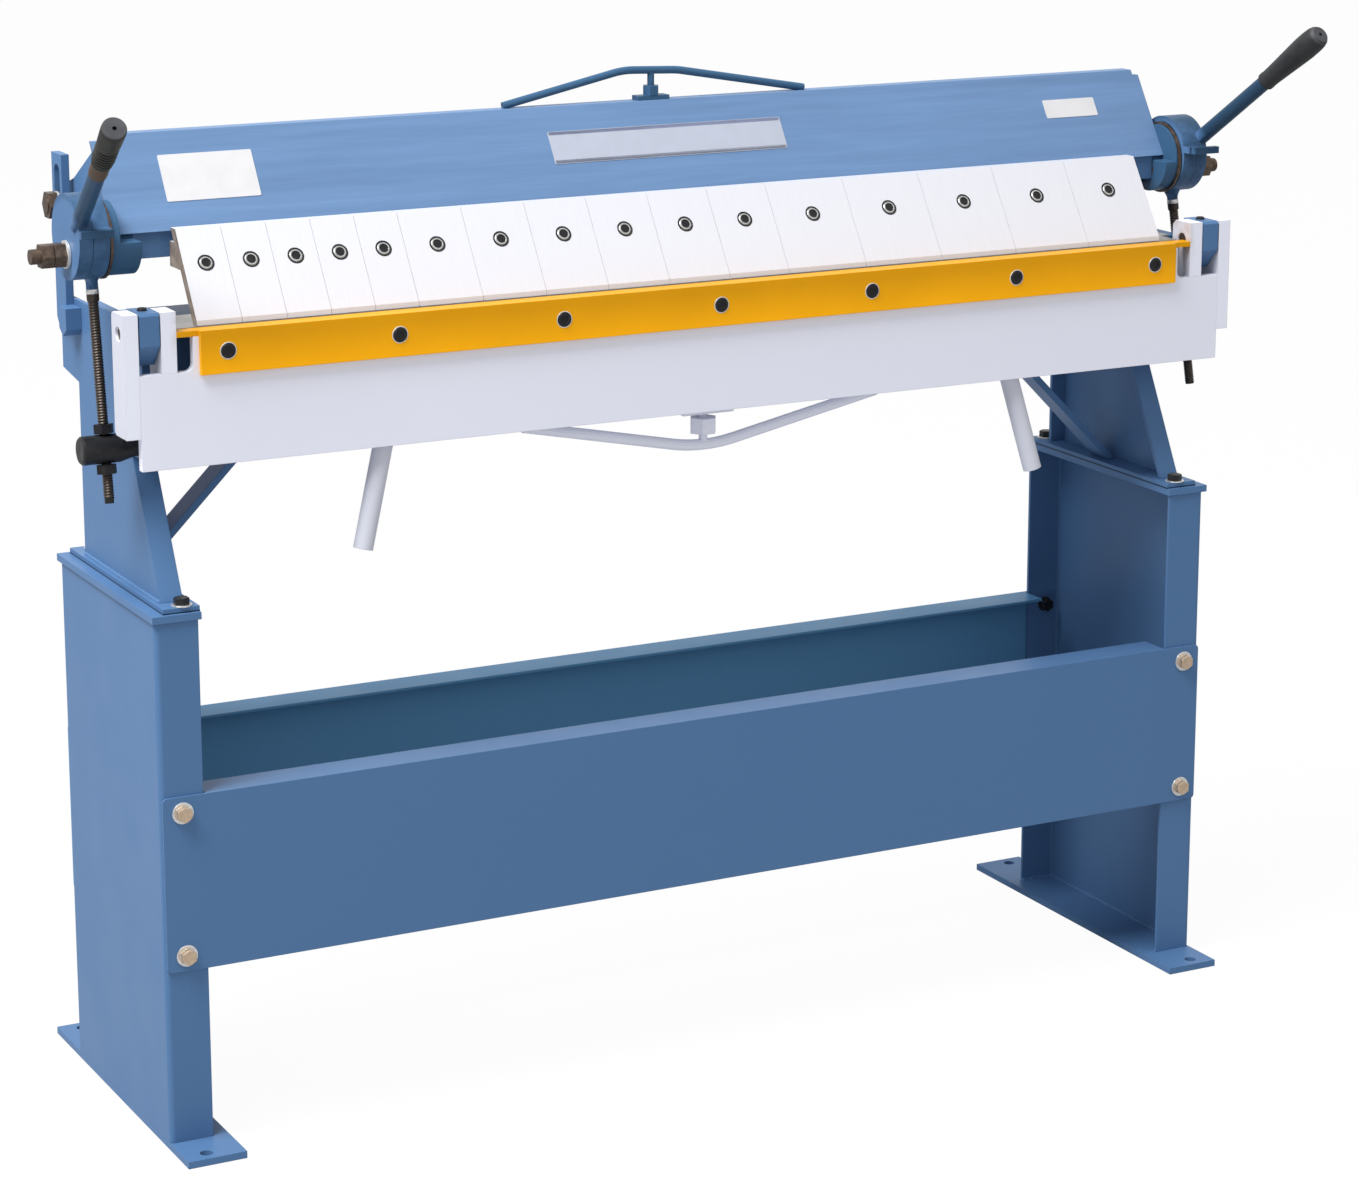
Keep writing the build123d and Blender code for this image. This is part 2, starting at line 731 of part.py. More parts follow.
def lever(gear):
    """Lever: the cam disc, its eccentric inside the strap, and the tube up to the grip."""
    inner = disc_inner(gear)
    disc = bar_x(cam_y, cam_z, cam_radius, inner, inner + cam_thick)
    disc += bar_x(cam_y, cam_z, eccentric_radius, gear.ring + cam_gap, inner)
    disc += rod_between(*lever_line(gear, grip_cap), lever_radius)
    return disc - bar_x(shaft_y, shaft_z, shaft_radius + run_fit, gear.ring, inner + cam_thick + 1)


def lever_grip(gear):
    """Grip: a tapered sleeve on the end of the lever, closed at its tip."""
    start, foot = lever_line(gear, grip_length)
    plane = Plane(origin=foot, z_dir=Vector(*foot) - Vector(*start))
    sleeve = plane * Pos(0, 0, grip_length / 2) * Cone(grip_thin, grip_fat, grip_length)
    return sleeve - rod_between(*lever_line(gear, grip_cap), lever_radius)


def rod_plane(gear, along):
    """A plane across the threaded rod, this far below the cam centre; the rod leans to its trunnion."""
    start = Vector(gear.ring + strap_thick / 2, cam_y, cam_z)
    way = (Vector(gear.foot, trunnion_y, trunnion_z) - start).normalized()
    return Plane(origin=start + way * along, z_dir=way, x_dir=(1, 0, -way.X / way.Z))


def rod_piece(gear, radius, start, end):
    """A round length of the threaded rod's axis, between two distances below the cam centre."""
    return rod_plane(gear, start) * extrude(Circle(radius), end - start)


def strap(gear):
    """Strap: the ring round the eccentric, with its neck below and the stop bar in front."""
    outer = gear.ring + strap_thick
    ring = bar_x(cam_y, cam_z, cam_radius, gear.ring, outer)
    ring += rod_piece(gear, neck_radius, cam_radius - 6, cam_radius + neck_length)
    face = cam_y - cam_radius
    low = cam_z + stop_rise
    ring += block(gear.ring, outer, face - stop_gap, face + 3, low, low + stop_bar)
    ring += block(gear.ring + 3, disc_inner(gear) + cam_thick + 4, face - stop_gap - stop_bar,
                  face - stop_gap, low, low + stop_bar)
    return ring - bar_x(cam_y, cam_z, strap_bore, gear.ring - 1, outer + 1)


def trunnion_reach(gear):
    """Distance along the rod from the cam centre to the trunnion."""
    across = gear.foot - gear.ring - strap_thick / 2
    return Vector(across, trunnion_y - cam_y, trunnion_z - cam_z).length


def clamp_rod(gear):
    """Threaded rod of the clamp, with the nuts that lock it in the trunnion."""
    reach = trunnion_reach(gear)
    rod = rod_piece(gear, rod_radius, cam_radius + neck_length, reach + rod_below)
    for along in (reach - trunnion_radius - rod_nut_thick - 1, reach + trunnion_radius + 1):
        nut = extrude(RegularPolygon(rod_nut_across / 2, 6, major_radius=False), rod_nut_thick)
        rod += rod_plane(gear, along) * nut
    return rod


def trunnion(gear):
    """Trunnion: the cross bar that anchors the threaded rod to the end plate."""
    inner = end_plate_outer - end_plate_thick
    neck = trunnion_shoulder - trunnion_taper
    bar = bar_x(trunnion_y, trunnion_z, trunnion_radius, trunnion_shoulder, trunnion_outer)
    bar = chamfer(bar.edges().sort_by(Axis.X)[-1], 2)
    taper = Pos(0, 0, trunnion_taper / 2) * Cone(trunnion_shank, trunnion_radius, trunnion_taper)
    bar += Plane.YZ.offset(neck) * Pos(trunnion_y, trunnion_z, 0) * taper
    bar += bar_x(trunnion_y, trunnion_z, trunnion_shank, inner + 1, neck)
    reach = trunnion_reach(gear)
    return bar - rod_piece(gear, rod_radius, reach - 2 * trunnion_radius, reach + 2 * trunnion_radius)


def slotted_bar():
    """Right slotted bar, standing on the ear of the end frame."""
    half = bar_wide / 2
    points = [(pivot_y - half, bar_low), (pivot_y + half - 6, bar_low), (pivot_y + half, bar_low + 8),
              (pivot_y + half, bar_high), (pivot_y - half, bar_high)]
    bar = prism(points, web_outer, web_outer + bar_thick)
    slot = block(web_outer - 1, web_outer + bar_thick + 1, pivot_y - slot_wide / 2,
                 pivot_y + slot_wide / 2, slot_low + slot_wide / 2, slot_high - slot_wide / 2)
    for end in (slot_low + slot_wide / 2, slot_high - slot_wide / 2):
        slot += bar_x(pivot_y, end, slot_wide / 2, web_outer - 1, web_outer + bar_thick + 1)
    return bar - slot


def bar_seat():
    """Right seat: a pointed block on the end frame that the slotted bar stands against."""
    face = pivot_y - bar_wide / 2
    top = web_top - 7
    points = [(face - 24, top), (face, top), (face, top - 24), (face - 12, top - 32), (face - 24, top - 24)]
    return prism(points, web_outer, web_outer + 18)


def rear_pivot():
    """Right rear pivot: the bolt that the clamping beam swings on, clamped in the slotted bar."""
    outer = web_outer + bar_thick
    inner = beam_end_outer - beam_end_thick
    end = outer + washer_thick + pivot_nut_thick
    bolt = bar_x(pivot_y, pivot_z, pivot_radius, inner - 12, end + pivot_bolt_end)
    bolt += bar_x(pivot_y, pivot_z, 16, inner - 12, inner - 4)
    bolt += bar_x(pivot_y, pivot_z, 13, beam_end_outer + 1, web_outer)
    bolt += bar_x(pivot_y, pivot_z, pivot_washer, outer, outer + washer_thick)
    return bolt + nut_x(pivot_y, pivot_z, pivot_nut_across, outer + washer_thick, end)


os.makedirs("parts", exist_ok=True)

paired = {
    "leg": stand_leg(),
    "foot_plate": foot_plate(),
    "frame_seat": Compound(children=[leg_cap(), frame_base()]),
    "end_frame": end_frame(),
    "end_strut": end_strut(),
    "end_plate": Compound(children=[end_plate(), hinge_lug()]),
    "slotted_bar": slotted_bar() + bar_seat(),
    "rear_pivot": rear_pivot(),
    "hinge_pin": hinge_pin(),
    "inner_cheek": inner_cheek(),
    "outer_cheek": outer_cheek(),
    "beam_end": beam_end(),
}
for name, piece in paired.items():
    save(piece, name + "_right")
    save(other_side(piece), name + "_left")

for end, gear in gears.items():
    gear_pieces = {
        "shaft_block": shaft_block(gear),
        "clamp_shaft": Compound(children=[shaft_bush(gear), clamp_shaft(gear)]),
        "lever": lever(gear),
        "lever_grip": lever_grip(gear),
        "strap": strap(gear),
        "clamp_rod": clamp_rod(gear),
        "trunnion": trunnion(gear),
    }
    for name, piece in gear_pieces.items():
        save(piece if end == "right" else other_side(piece), f"{name}_{end}")

single = {
    "front_panel": stand_panel(front, 1),
    "rear_panel": stand_panel(back, -1),
    "panel_bolts": panel_bolts(),
    "frame_bolts_right": frame_bolts(1),
    "frame_bolts_left": frame_bolts(-1),
    "bed_plate": bed_top(),
    "bed_trough": bed_trough(),
    "apron_plate": apron_plate(),
    "bending_blade": blade(),
    "blade_screws": blade_screws(),
    "apron_truss": apron_truss(),
    "apron_handle_right": apron_handle(1),
    "apron_handle_left": apron_handle(-1),
    "beam_front": beam_front(),
    "beam_rear": beam_rear(),
    "beam_floor": beam_floor(),
    "clamp_bar": clamp_bar(),
    "fingers": fingers(),
    "finger_screws": finger_screws(),
    "beam_truss": beam_truss(),
}
for name, piece in single.items():
    save(piece, name)
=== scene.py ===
"""Looks of the box and pan brake: paint, metals, screws, threads, weld beads, plates, studio and camera.

Lengths are in metres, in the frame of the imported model: +Z up, -Y towards the operator.
"""
import math

import bmesh
import bpy
from mathutils import Matrix, Vector


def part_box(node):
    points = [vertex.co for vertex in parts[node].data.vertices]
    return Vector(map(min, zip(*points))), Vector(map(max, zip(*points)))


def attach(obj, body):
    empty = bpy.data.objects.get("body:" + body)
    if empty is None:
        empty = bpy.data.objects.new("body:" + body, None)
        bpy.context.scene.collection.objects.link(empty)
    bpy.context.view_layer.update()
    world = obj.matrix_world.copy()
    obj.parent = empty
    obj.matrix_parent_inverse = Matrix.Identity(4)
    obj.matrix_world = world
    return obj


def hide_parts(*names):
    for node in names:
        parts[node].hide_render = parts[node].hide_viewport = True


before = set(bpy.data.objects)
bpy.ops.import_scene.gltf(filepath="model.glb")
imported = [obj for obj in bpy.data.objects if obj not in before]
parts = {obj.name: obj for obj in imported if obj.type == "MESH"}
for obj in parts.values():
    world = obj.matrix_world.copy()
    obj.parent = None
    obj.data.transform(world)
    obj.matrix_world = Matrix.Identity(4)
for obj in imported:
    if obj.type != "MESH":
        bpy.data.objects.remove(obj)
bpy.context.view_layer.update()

bl_info = {
    "name": "Box and Pan Brake",
    "version": (1, 0, 0),
    "blender": (4, 5, 0),
    "location": "View3D > Sidebar > Folder",
    "description": "Finishes and small parts of a floor-standing box and pan brake",
    "category": "Object",
}

SIDES = {"left": -1.0, "right": 1.0}
MM = 0.001
INCH = 25.4 * MM
UP = Vector((0.0, 0.0, 1.0))
FRONT = Vector((0.0, -1.0, 0.0))
BACK = Vector((0.0, 1.0, 0.0))

# Pivots of the apron and of the clamp levers, seen from the side
HINGE = Vector((0.0, -0.154, 0.905))
SHAFT = Vector((0.0, -0.068, 0.978))

# Clamps. Distances along the bed are from the inner face of the strap's ring
CAM_RADIUS = 46 * MM
CAM_MIDDLE = 9.0 * MM
LEVER_ROOT = 28.5 * MM
BUSH_END = 34.0 * MM
WASHER_THICK = 3.0 * MM
LEVER_START = Vector((0.0, -0.092, 1.011))
LEVER_TIP = {"left": Vector((-0.738, -0.285, 1.137)), "right": Vector((0.738, -0.281, 1.158))}
ROD_TOP = 68 * MM
ROD_FOOT = {"left": 0.696, "right": 0.691}
ROD_CORE = 5.0 * MM
ROD_BELOW = 56.0 * MM
SHAFT_CORE = 8.0 * MM
SHAFT_BARE = 10.0 * MM

# Heights in turned profiles, which are in millimetres
GRIP_LENGTH = 104.0
NECK_END = 57.0
COLLAR_END = NECK_END + 5.0

# Stand and beam
LEG_SHEET = 4.0 * MM
PANEL_SHEET = 3.0 * MM
BASE_WIDTH = 41 * MM
BASE_INSET = 5 * MM
BASE_THICK = 6 * MM
BAR_THICK = 9.0 * MM
FINGER_TOP_Y = -0.092
BEAM_FOOT = Vector((0.0, -0.077, 0.996))
BEAM_RIDGE = Vector((0.0, -0.014, 1.094))

# Each finish by its short name, filled by mix_materials
MATERIALS = {}


class PaintSettings(bpy.types.PropertyGroup):
    """Colours of the coated surfaces; the beam, dark and inside blues hold painted light and shade."""

    blue: bpy.props.FloatVectorProperty(
        name="Blue", description="Stand, bed and clamps", subtype="COLOR",
        default=(0.077, 0.164, 0.322))
    # Painted light: the beam blue is a lighter copy of the stand blue, for the light and the reflected
    # white surround on the up-facing front of the beam.
    beam: bpy.props.FloatVectorProperty(
        name="Beam blue", description="Front of the clamping beam", subtype="COLOR",
        default=(0.120, 0.209, 0.368))
    # Painted shade: the dark blue stands for the shaded sides of the levers and straps; made lighter it
    # is the blue of the strut on the beam and of the shaft blocks, and halved it is the painted gap
    # shadow under the end frames.
    shade: bpy.props.FloatVectorProperty(
        name="Dark blue", description="Levers, straps and the strut on the beam", subtype="COLOR",
        default=(0.026, 0.067, 0.128))
    # Painted shade: the inside blue is a lighter, tealer copy of the stand blue, for the colour that the
    # shaded inside of the rear panel takes.
    inside: bpy.props.FloatVectorProperty(
        name="Inside blue", description="Inside of the rear panel", subtype="COLOR",
        default=(0.098, 0.262, 0.455))
    pale: bpy.props.FloatVectorProperty(
        name="Pale", description="Apron and its handles", subtype="COLOR", default=(0.75, 0.77, 0.87))
    finger: bpy.props.FloatVectorProperty(
        name="Fingers", description="Ground faces of the fingers", subtype="COLOR",
        default=(0.60, 0.605, 0.65))
    yellow: bpy.props.FloatVectorProperty(
        name="Yellow", description="Bending blade", subtype="COLOR", default=(0.77, 0.345, 0.002))
    gloss: bpy.props.FloatProperty(
        name="Roughness", description="Roughness of the gloss paint", default=0.38, min=0.0, max=1.0,
        subtype="FACTOR")
    orange_peel: bpy.props.FloatProperty(
        name="Orange peel", description="Width of the ripples in the paint", default=0.004, unit="LENGTH")
    edge_round: bpy.props.FloatProperty(
        name="Edge rounding", description="Radius of the paint over an edge", default=0.0011,
        unit="LENGTH")


class MetalSettings(bpy.types.PropertyGroup):
    """Colours of the bare and plated metals."""

    steel: bpy.props.FloatVectorProperty(
        name="Steel", description="Ground steel", subtype="COLOR", default=(0.50, 0.48, 0.45))
    zinc: bpy.props.FloatVectorProperty(
        name="Zinc", description="Plated bolt heads", subtype="COLOR", default=(0.52, 0.40, 0.29))
    washer: bpy.props.FloatVectorProperty(
        name="Washer", description="Plated washers", subtype="COLOR", default=(0.66, 0.66, 0.65))
    bronze: bpy.props.FloatVectorProperty(
        name="Dark bronze", description="Nuts and bushes of the clamps", subtype="COLOR",
        default=(0.085, 0.058, 0.042))
    black: bpy.props.FloatVectorProperty(
        name="Black steel", description="Blackened screws, rods and trunnions", subtype="COLOR",
        default=(0.014, 0.014, 0.016))
    rubber: bpy.props.FloatVectorProperty(
        name="Rubber", description="Lever grips", subtype="COLOR", default=(0.016, 0.018, 0.019))


class ScrewSettings(bpy.types.PropertyGroup):
    """Sizes of the screws, threads and weld beads."""

    pitch: bpy.props.FloatProperty(
        name="Thread pitch", description="Pitch of the clamp rods", default=0.003, unit="LENGTH")
    thread_depth: bpy.props.FloatProperty(
        name="Thread depth", description="Height of a thread over its core", default=0.001,
        unit="LENGTH")
    bead: bpy.props.FloatProperty(
        name="Weld bead", description="Radius of a weld bead", default=0.0028, unit="LENGTH")
    bead_step: bpy.props.FloatProperty(
        name="Weld ripple", description="Distance between the ripples of a weld", default=0.0042,
        unit="LENGTH")


class PlateSettings(bpy.types.PropertyGroup):
    """Sizes of the bare plates on the front of the clamping beam."""

    thickness: bpy.props.FloatProperty(
        name="Thickness", description="Thickness of a plate", default=0.0006, unit="LENGTH")
    band: bpy.props.FloatVectorProperty(
        name="Band", description="Colour of the lines along the long plate", subtype="COLOR",
        default=(0.20, 0.23, 0.36))
    silver: bpy.props.FloatVectorProperty(
        name="Silver", description="Ground of the long plate", subtype="COLOR",
        default=(0.37, 0.40, 0.48))
    white: bpy.props.FloatVectorProperty(
        name="White", description="Ground of the two small plates", subtype="COLOR",
        default=(0.56, 0.56, 0.575))


class StudioSettings(bpy.types.PropertyGroup):
    """Camera, lamps and ambient light."""

    azimuth: bpy.props.FloatProperty(
        name="Azimuth", description="Turn of the camera from straight ahead",
        default=math.radians(27.57), subtype="ANGLE")
    elevation: bpy.props.FloatProperty(
        name="Elevation", description="Downward tilt of the camera", default=math.radians(12.63),
        subtype="ANGLE")
    place: bpy.props.FloatVectorProperty(
        name="Camera", description="Place of the camera", default=(-1.912, -3.737, 1.605),
        subtype="TRANSLATION")
    lens: bpy.props.FloatProperty(
        name="Lens", description="Focal length in millimetres for a sensor 36 mm wide", default=97.22)
    shift: bpy.props.FloatProperty(
        name="Vertical shift", description="Vertical shift of the lens", default=-0.1002)
    ambient: bpy.props.FloatProperty(
        name="Ambient", description="Light that comes from all round", default=0.60)
    key: bpy.props.FloatProperty(
        name="Key", description="Power of the soft lamp high on the left", default=560.0)
    fill: bpy.props.FloatProperty(
        name="Fill", description="Power of the soft lamp beside the camera", default=12.0)


SETTINGS = {
    "brake_paint": PaintSettings,
    "brake_metal": MetalSettings,
    "brake_screw": ScrewSettings,
    "brake_plate": PlateSettings,
    "brake_studio": StudioSettings,
}


def settings(name):
    """One group of settings of the scene."""
    return getattr(bpy.context.scene, "brake_" + name)


class Recipe:
    """A material with its nodes, and short ways to add to them."""

    def __init__(self, name):
        self.material = bpy.data.materials.new(name)
        self.material.use_nodes = True
        self.tree = self.material.node_tree
        self.shader = self.tree.nodes["Principled BSDF"]
        self.coordinates = self.add("ShaderNodeTexCoord")
        self.place = self.coordinates.outputs["Object"]

    def add(self, kind, **inputs):
        """A new node; each keyword sets the input of that name, or links it when given a socket."""
        node = self.tree.nodes.new(kind)
        for key, value in inputs.items():
            self.put(node.inputs[key.replace("_", " ")], value)
        return node

    def put(self, socket, value):
        """Set an input to a value, or link it to an output."""
        if isinstance(value, bpy.types.NodeSocket):
            self.tree.links.new(value, socket)
        else:
            socket.default_value = value

    def scaled(self, factors):
        """Object coordinates, stretched by these factors."""
        return self.add("ShaderNodeMapping", Vector=self.place, Scale=factors).outputs["Vector"]

    def noise(self, scale, detail=2.0, roughness=0.5, vector=None):
        """A noise pattern between 0 and 1."""
        node = self.add("ShaderNodeTexNoise", Vector=vector or self.place, Scale=scale, Detail=detail,
                        Roughness=roughness)
        return node.outputs["Fac"]

    def spread(self, value, low, high, start=0.3, end=0.7):
        """A value between start and end, spread over low to high."""
        node = self.tree.nodes.new("ShaderNodeMapRange")
        for socket, number in zip(node.inputs[:5], (value, start, end, low, high)):
            self.put(socket, number)
        return node.outputs[0]

    def worked(self, operation, *values):
        """The result of a sum on one, two or three values."""
        node = self.tree.nodes.new("ShaderNodeMath")
        node.operation = operation
        for socket, value in zip(node.inputs, values):
            self.put(socket, value)
        return node.outputs[0]

    def along(self, axis, kind="Object"):
        """Distance of a point from the middle of the brake along one axis, or a part of its normal."""
        split = self.add("ShaderNodeSeparateXYZ", Vector=self.coordinates.outputs[kind])
        return self.worked("ABSOLUTE", split.outputs[axis])

    def beyond(self, value, limit, soft=0.1 * MM):
        """0 below a limit and 1 above it, with a soft step between."""
        return self.spread(value, 0.0, 1.0, limit - soft, limit + soft)

    def reach(self, centre):
        """Distance of a point from a line along the bed through a centre."""
        away = self.add("ShaderNodeVectorMath", Vector=self.scaled((0.0, 1.0, 1.0)))
        away.operation = "DISTANCE"
        self.put(away.inputs[1], tuple(centre))
        return away.outputs["Value"]

    def shaded(self, colour, amount):
        """A colour that is made lighter or darker by an amount around 1."""
        node = self.add("ShaderNodeVectorMath", Vector=tuple(colour))
        node.operation = "SCALE"
        self.put(node.inputs["Scale"], amount)
        return node.outputs["Vector"]

    def mixed(self, amount, first, second):
        """A colour between two others."""
        node = self.tree.nodes.new("ShaderNodeMix")
        node.data_type = "RGBA"
        self.put(node.inputs[0], amount)
        for socket, colour in zip(node.inputs[6:8], (first, second)):
            self.put(socket, colour if isinstance(colour, bpy.types.NodeSocket) else (*colour, 1.0))
        return node.outputs[2]

    def relief(self, height, distance, rounding=0.0):
        """Small relief in the surface, and edges that look rounded."""
        bump = self.add("ShaderNodeBump", Height=height, Distance=distance)
        if rounding:
            edge = self.add("ShaderNodeBevel", Radius=rounding)
            edge.samples = 4
            self.put(bump.inputs["Normal"], edge.outputs["Normal"])
        self.put(self.shader.inputs["Normal"], bump.outputs["Normal"])

    def finish(self, **inputs):
        """Set the shader's own inputs."""
        for key, value in inputs.items():
            self.put(self.shader.inputs[key.replace("_", " ")], value)
        return self.material


def tinted(colour, factor):
    """A plain colour made lighter or darker by a factor."""
    return tuple(factor * part for part in colour)


def satin_paint(name, colour, variation=0.02, streaks=0.0):
    """Satin enamel; streaked paint has fine and broad lines along the bed."""
    recipe = Recipe(name)
    cloud = recipe.noise(2.2, detail=3.0)
    amount = recipe.spread(cloud, 1.0 - variation, 1.0 + variation, 0.2, 0.8)
    if streaks:
        stretch = 20.0
        for across in (24.0, 110.0):
            lines = recipe.noise(1.0, detail=6.0, roughness=0.62,
                                 vector=recipe.scaled((across / stretch, across, across)))
            shade = recipe.spread(lines, 1.0 - streaks, 1.0 + streaks)
            amount = recipe.worked("MULTIPLY", amount, shade)
    return enamelled(recipe, recipe.shaded(colour, amount))


def enamelled(recipe, tone):
    """Gloss and faint orange peel of an enamel of any tone."""
    paint = settings("paint")
    peel = recipe.noise(1.0 / paint.orange_peel, detail=1.0)
    recipe.relief(peel, 0.03 * MM, paint.edge_round)
    rough = recipe.spread(recipe.noise(14.0), paint.gloss - 0.03, paint.gloss + 0.05)
    return recipe.finish(Base_Color=tone, Roughness=rough, Specular_IOR_Level=0.12)


def blade_paint(name, colour):
    """Yellow enamel of the bending blade, lighter towards its lower edge."""
    recipe = Recipe(name)
    lower_edge = HINGE.z - 0.045
    upper_edge = HINGE.z - 0.008
    split = recipe.add("ShaderNodeSeparateXYZ", Vector=recipe.place)
    fade = recipe.spread(split.outputs["Z"], 1.22, 0.9, lower_edge, upper_edge)
    cloud = recipe.spread(recipe.noise(9.0, detail=4.0), 0.96, 1.05)
    return enamelled(recipe, recipe.shaded(colour, recipe.worked("MULTIPLY", fade, cloud)))


def cheek_shade_and_stain_paint(name, colour):
    """Pale enamel of the cheeks, with painted shade on their sides and a rusty stain round the hinge pin.
    """
    recipe = Recipe(name)
    pin_radius = 0.008
    stain_radius = 0.034
    inner_cheek = 0.6405
    between_cheeks = 0.648
    # Painted shade: the faces that look along the bed get 0.68 of the pale colour.
    side = recipe.beyond(recipe.along("X", "Normal"), 0.6, 0.1)
    tone = recipe.mixed(side, tuple(colour), tinted(colour, 0.68))
    near = recipe.spread(recipe.reach(HINGE), 1.0, 0.0, pin_radius, stain_radius)
    inner = recipe.spread(recipe.along("X"), 1.0, 0.0, inner_cheek, between_cheeks)
    patch = recipe.spread(recipe.noise(55.0, detail=5.0), 0.0, 0.75, 0.38, 0.66)
    rusty = recipe.worked("MULTIPLY", recipe.worked("MULTIPLY", near, inner), patch)
    return enamelled(recipe, recipe.mixed(rusty, tone, (0.33, 0.20, 0.11)))


def clamp_painted_light(name, light, dark):
    """Clamp blue with painted light: painted light on the outer faces of the discs, and round them
    painted shade with patches of painted highlight that fade out past the discs.
    """
    recipe = Recipe(name)
    disc_edge = 0.055
    past_disc = 0.07
    # Painted light on the faces that look along the bed, and painted highlight patches, both only near
    # the shaft.
    face = recipe.beyond(recipe.along("X", "Normal"), 0.7, 0.1)
    disc = recipe.spread(recipe.reach(SHAFT), 1.0, 0.0, disc_edge, past_disc)
    patch = recipe.spread(recipe.noise(38.0, detail=5.0, roughness=0.6), 0.22, 0.75, 0.42, 0.68)
    amount = recipe.worked("MAXIMUM", recipe.worked("MULTIPLY", face, disc),
                           recipe.worked("MULTIPLY", patch, disc))
    return enamelled(recipe, recipe.mixed(amount, tuple(dark), tuple(light)))


def ground_face(name, colour):
    """Ground and lacquered finger faces, with bare brown steel at both ends of the row."""
    recipe = Recipe(name)
    row_end = 0.6085
    lines = recipe.noise(1.0, detail=4.0, vector=recipe.scaled((500.0, 30.0, 30.0)))
    bright = recipe.shaded(colour, recipe.spread(lines, 0.985, 1.015))
    stain = recipe.noise(70.0, detail=5.0, roughness=0.65)
    brown = recipe.mixed(recipe.spread(stain, 0.0, 1.0), (0.30, 0.25, 0.21), (0.13, 0.095, 0.07))
    side = recipe.worked("MULTIPLY", recipe.beyond(recipe.along("X", "Normal"), 0.6, 0.1),
                         recipe.beyond(recipe.along("X"), row_end))
    tone = recipe.mixed(side, bright, brown)
    recipe.relief(lines, 0.01 * MM, 0.4 * MM)
    return recipe.finish(Base_Color=tone, Roughness=recipe.spread(side, 0.34, 0.46, 0.0, 1.0),
                         Specular_IOR_Level=0.35)


def ground_steel(name, colour):
    """Ground or rolled steel with lines along the bed."""
    recipe = Recipe(name)
    lines = recipe.noise(6.0, detail=4.0, vector=recipe.scaled((3.0, 160.0, 160.0)))
    stain = recipe.noise(9.0, detail=5.0, roughness=0.65)
    bright = recipe.shaded(colour, recipe.spread(lines, 0.86, 1.1))
    tone = recipe.mixed(recipe.spread(stain, 0.0, 0.35, 0.5, 0.75), bright, (0.30, 0.25, 0.20))
    recipe.relief(lines, 0.04 * MM, 0.6 * MM)
    return recipe.finish(Base_Color=tone, Metallic=0.85, Roughness=recipe.spread(stain, 0.30, 0.48))


def banded_steel(name, washer_start, washer_end):
    """Dark bronze nuts and bushes, with a bright washer between two distances from the middle."""
    metal = settings("metal")
    recipe = Recipe(name)
    cloud = recipe.noise(170.0, detail=4.0)
    dark = recipe.mixed(recipe.spread(cloud, 0.0, 0.55, 0.45, 0.75), tuple(metal.bronze),
                        (0.22, 0.16, 0.12))
    out = recipe.along("X")
    washer = recipe.worked("SUBTRACT", recipe.beyond(out, washer_start), recipe.beyond(out, washer_end))
    tone = recipe.mixed(washer, dark, tuple(metal.washer))
    recipe.relief(cloud, 0.03 * MM, 0.5 * MM)
    return recipe.finish(Base_Color=tone, Metallic=0.65, Roughness=recipe.spread(cloud, 0.34, 0.5))


def plated(name, colour, rough=0.34):
    """Zinc plating, slightly clouded."""
    recipe = Recipe(name)
    cloud = recipe.noise(260.0, detail=3.0)
    tone = recipe.shaded(colour, recipe.spread(cloud, 0.85, 1.12))
    recipe.relief(cloud, 0.02 * MM, 0.5 * MM)
    return recipe.finish(Base_Color=tone, Metallic=0.8,
                         Roughness=recipe.spread(cloud, rough, rough + 0.12))


def blackened(name, colour):
    """Oiled black steel with brighter rubbed spots."""
    recipe = Recipe(name)
    cloud = recipe.noise(90.0, detail=4.0, roughness=0.6)
    tone = recipe.mixed(recipe.spread(cloud, 0.0, 0.3, 0.55, 0.8), tuple(colour), (0.07, 0.06, 0.05))
    recipe.relief(cloud, 0.03 * MM, 0.6 * MM)
    return recipe.finish(Base_Color=tone, Metallic=0.3, Roughness=recipe.spread(cloud, 0.3, 0.5),
                         Specular_IOR_Level=0.3)


def moulded_rubber(name, colour):
    """Matt rubber with a fine grain."""
    recipe = Recipe(name)
    grain = recipe.noise(1400.0, detail=2.0)
    patch = recipe.noise(60.0, detail=3.0)
    tone = recipe.shaded(colour, recipe.spread(patch, 0.8, 1.35))
    recipe.relief(grain, 0.02 * MM)
    return recipe.finish(Base_Color=tone, Roughness=recipe.spread(patch, 0.48, 0.62),
                         Specular_IOR_Level=0.3)


def rusty_band(name):
    """Bare brown steel at the foot of the left grip."""
    recipe = Recipe(name)
    patch = recipe.noise(120.0, detail=6.0, roughness=0.7)
    tone = recipe.mixed(recipe.spread(patch, 0.0, 1.0), (0.10, 0.045, 0.02), (0.05, 0.045, 0.035))
    recipe.relief(patch, 0.1 * MM)
    return recipe.finish(Base_Color=tone, Metallic=0.3, Roughness=0.6)


def foil_face(name, colour):
    """Bare foil with a faint mottling."""
    recipe = Recipe(name)
    cloud = recipe.noise(45.0, detail=2.0)
    tone = recipe.shaded(colour, recipe.spread(cloud, 0.97, 1.03))
    recipe.relief(recipe.noise(700.0), 0.01 * MM)
    return recipe.finish(Base_Color=tone, Roughness=recipe.spread(cloud, 0.3, 0.4))


def ring_face(side):
    """Distance of the inner face of a strap from the middle of the bed."""
    low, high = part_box(f"strap_{side}")
    return min(abs(low.x), abs(high.x))


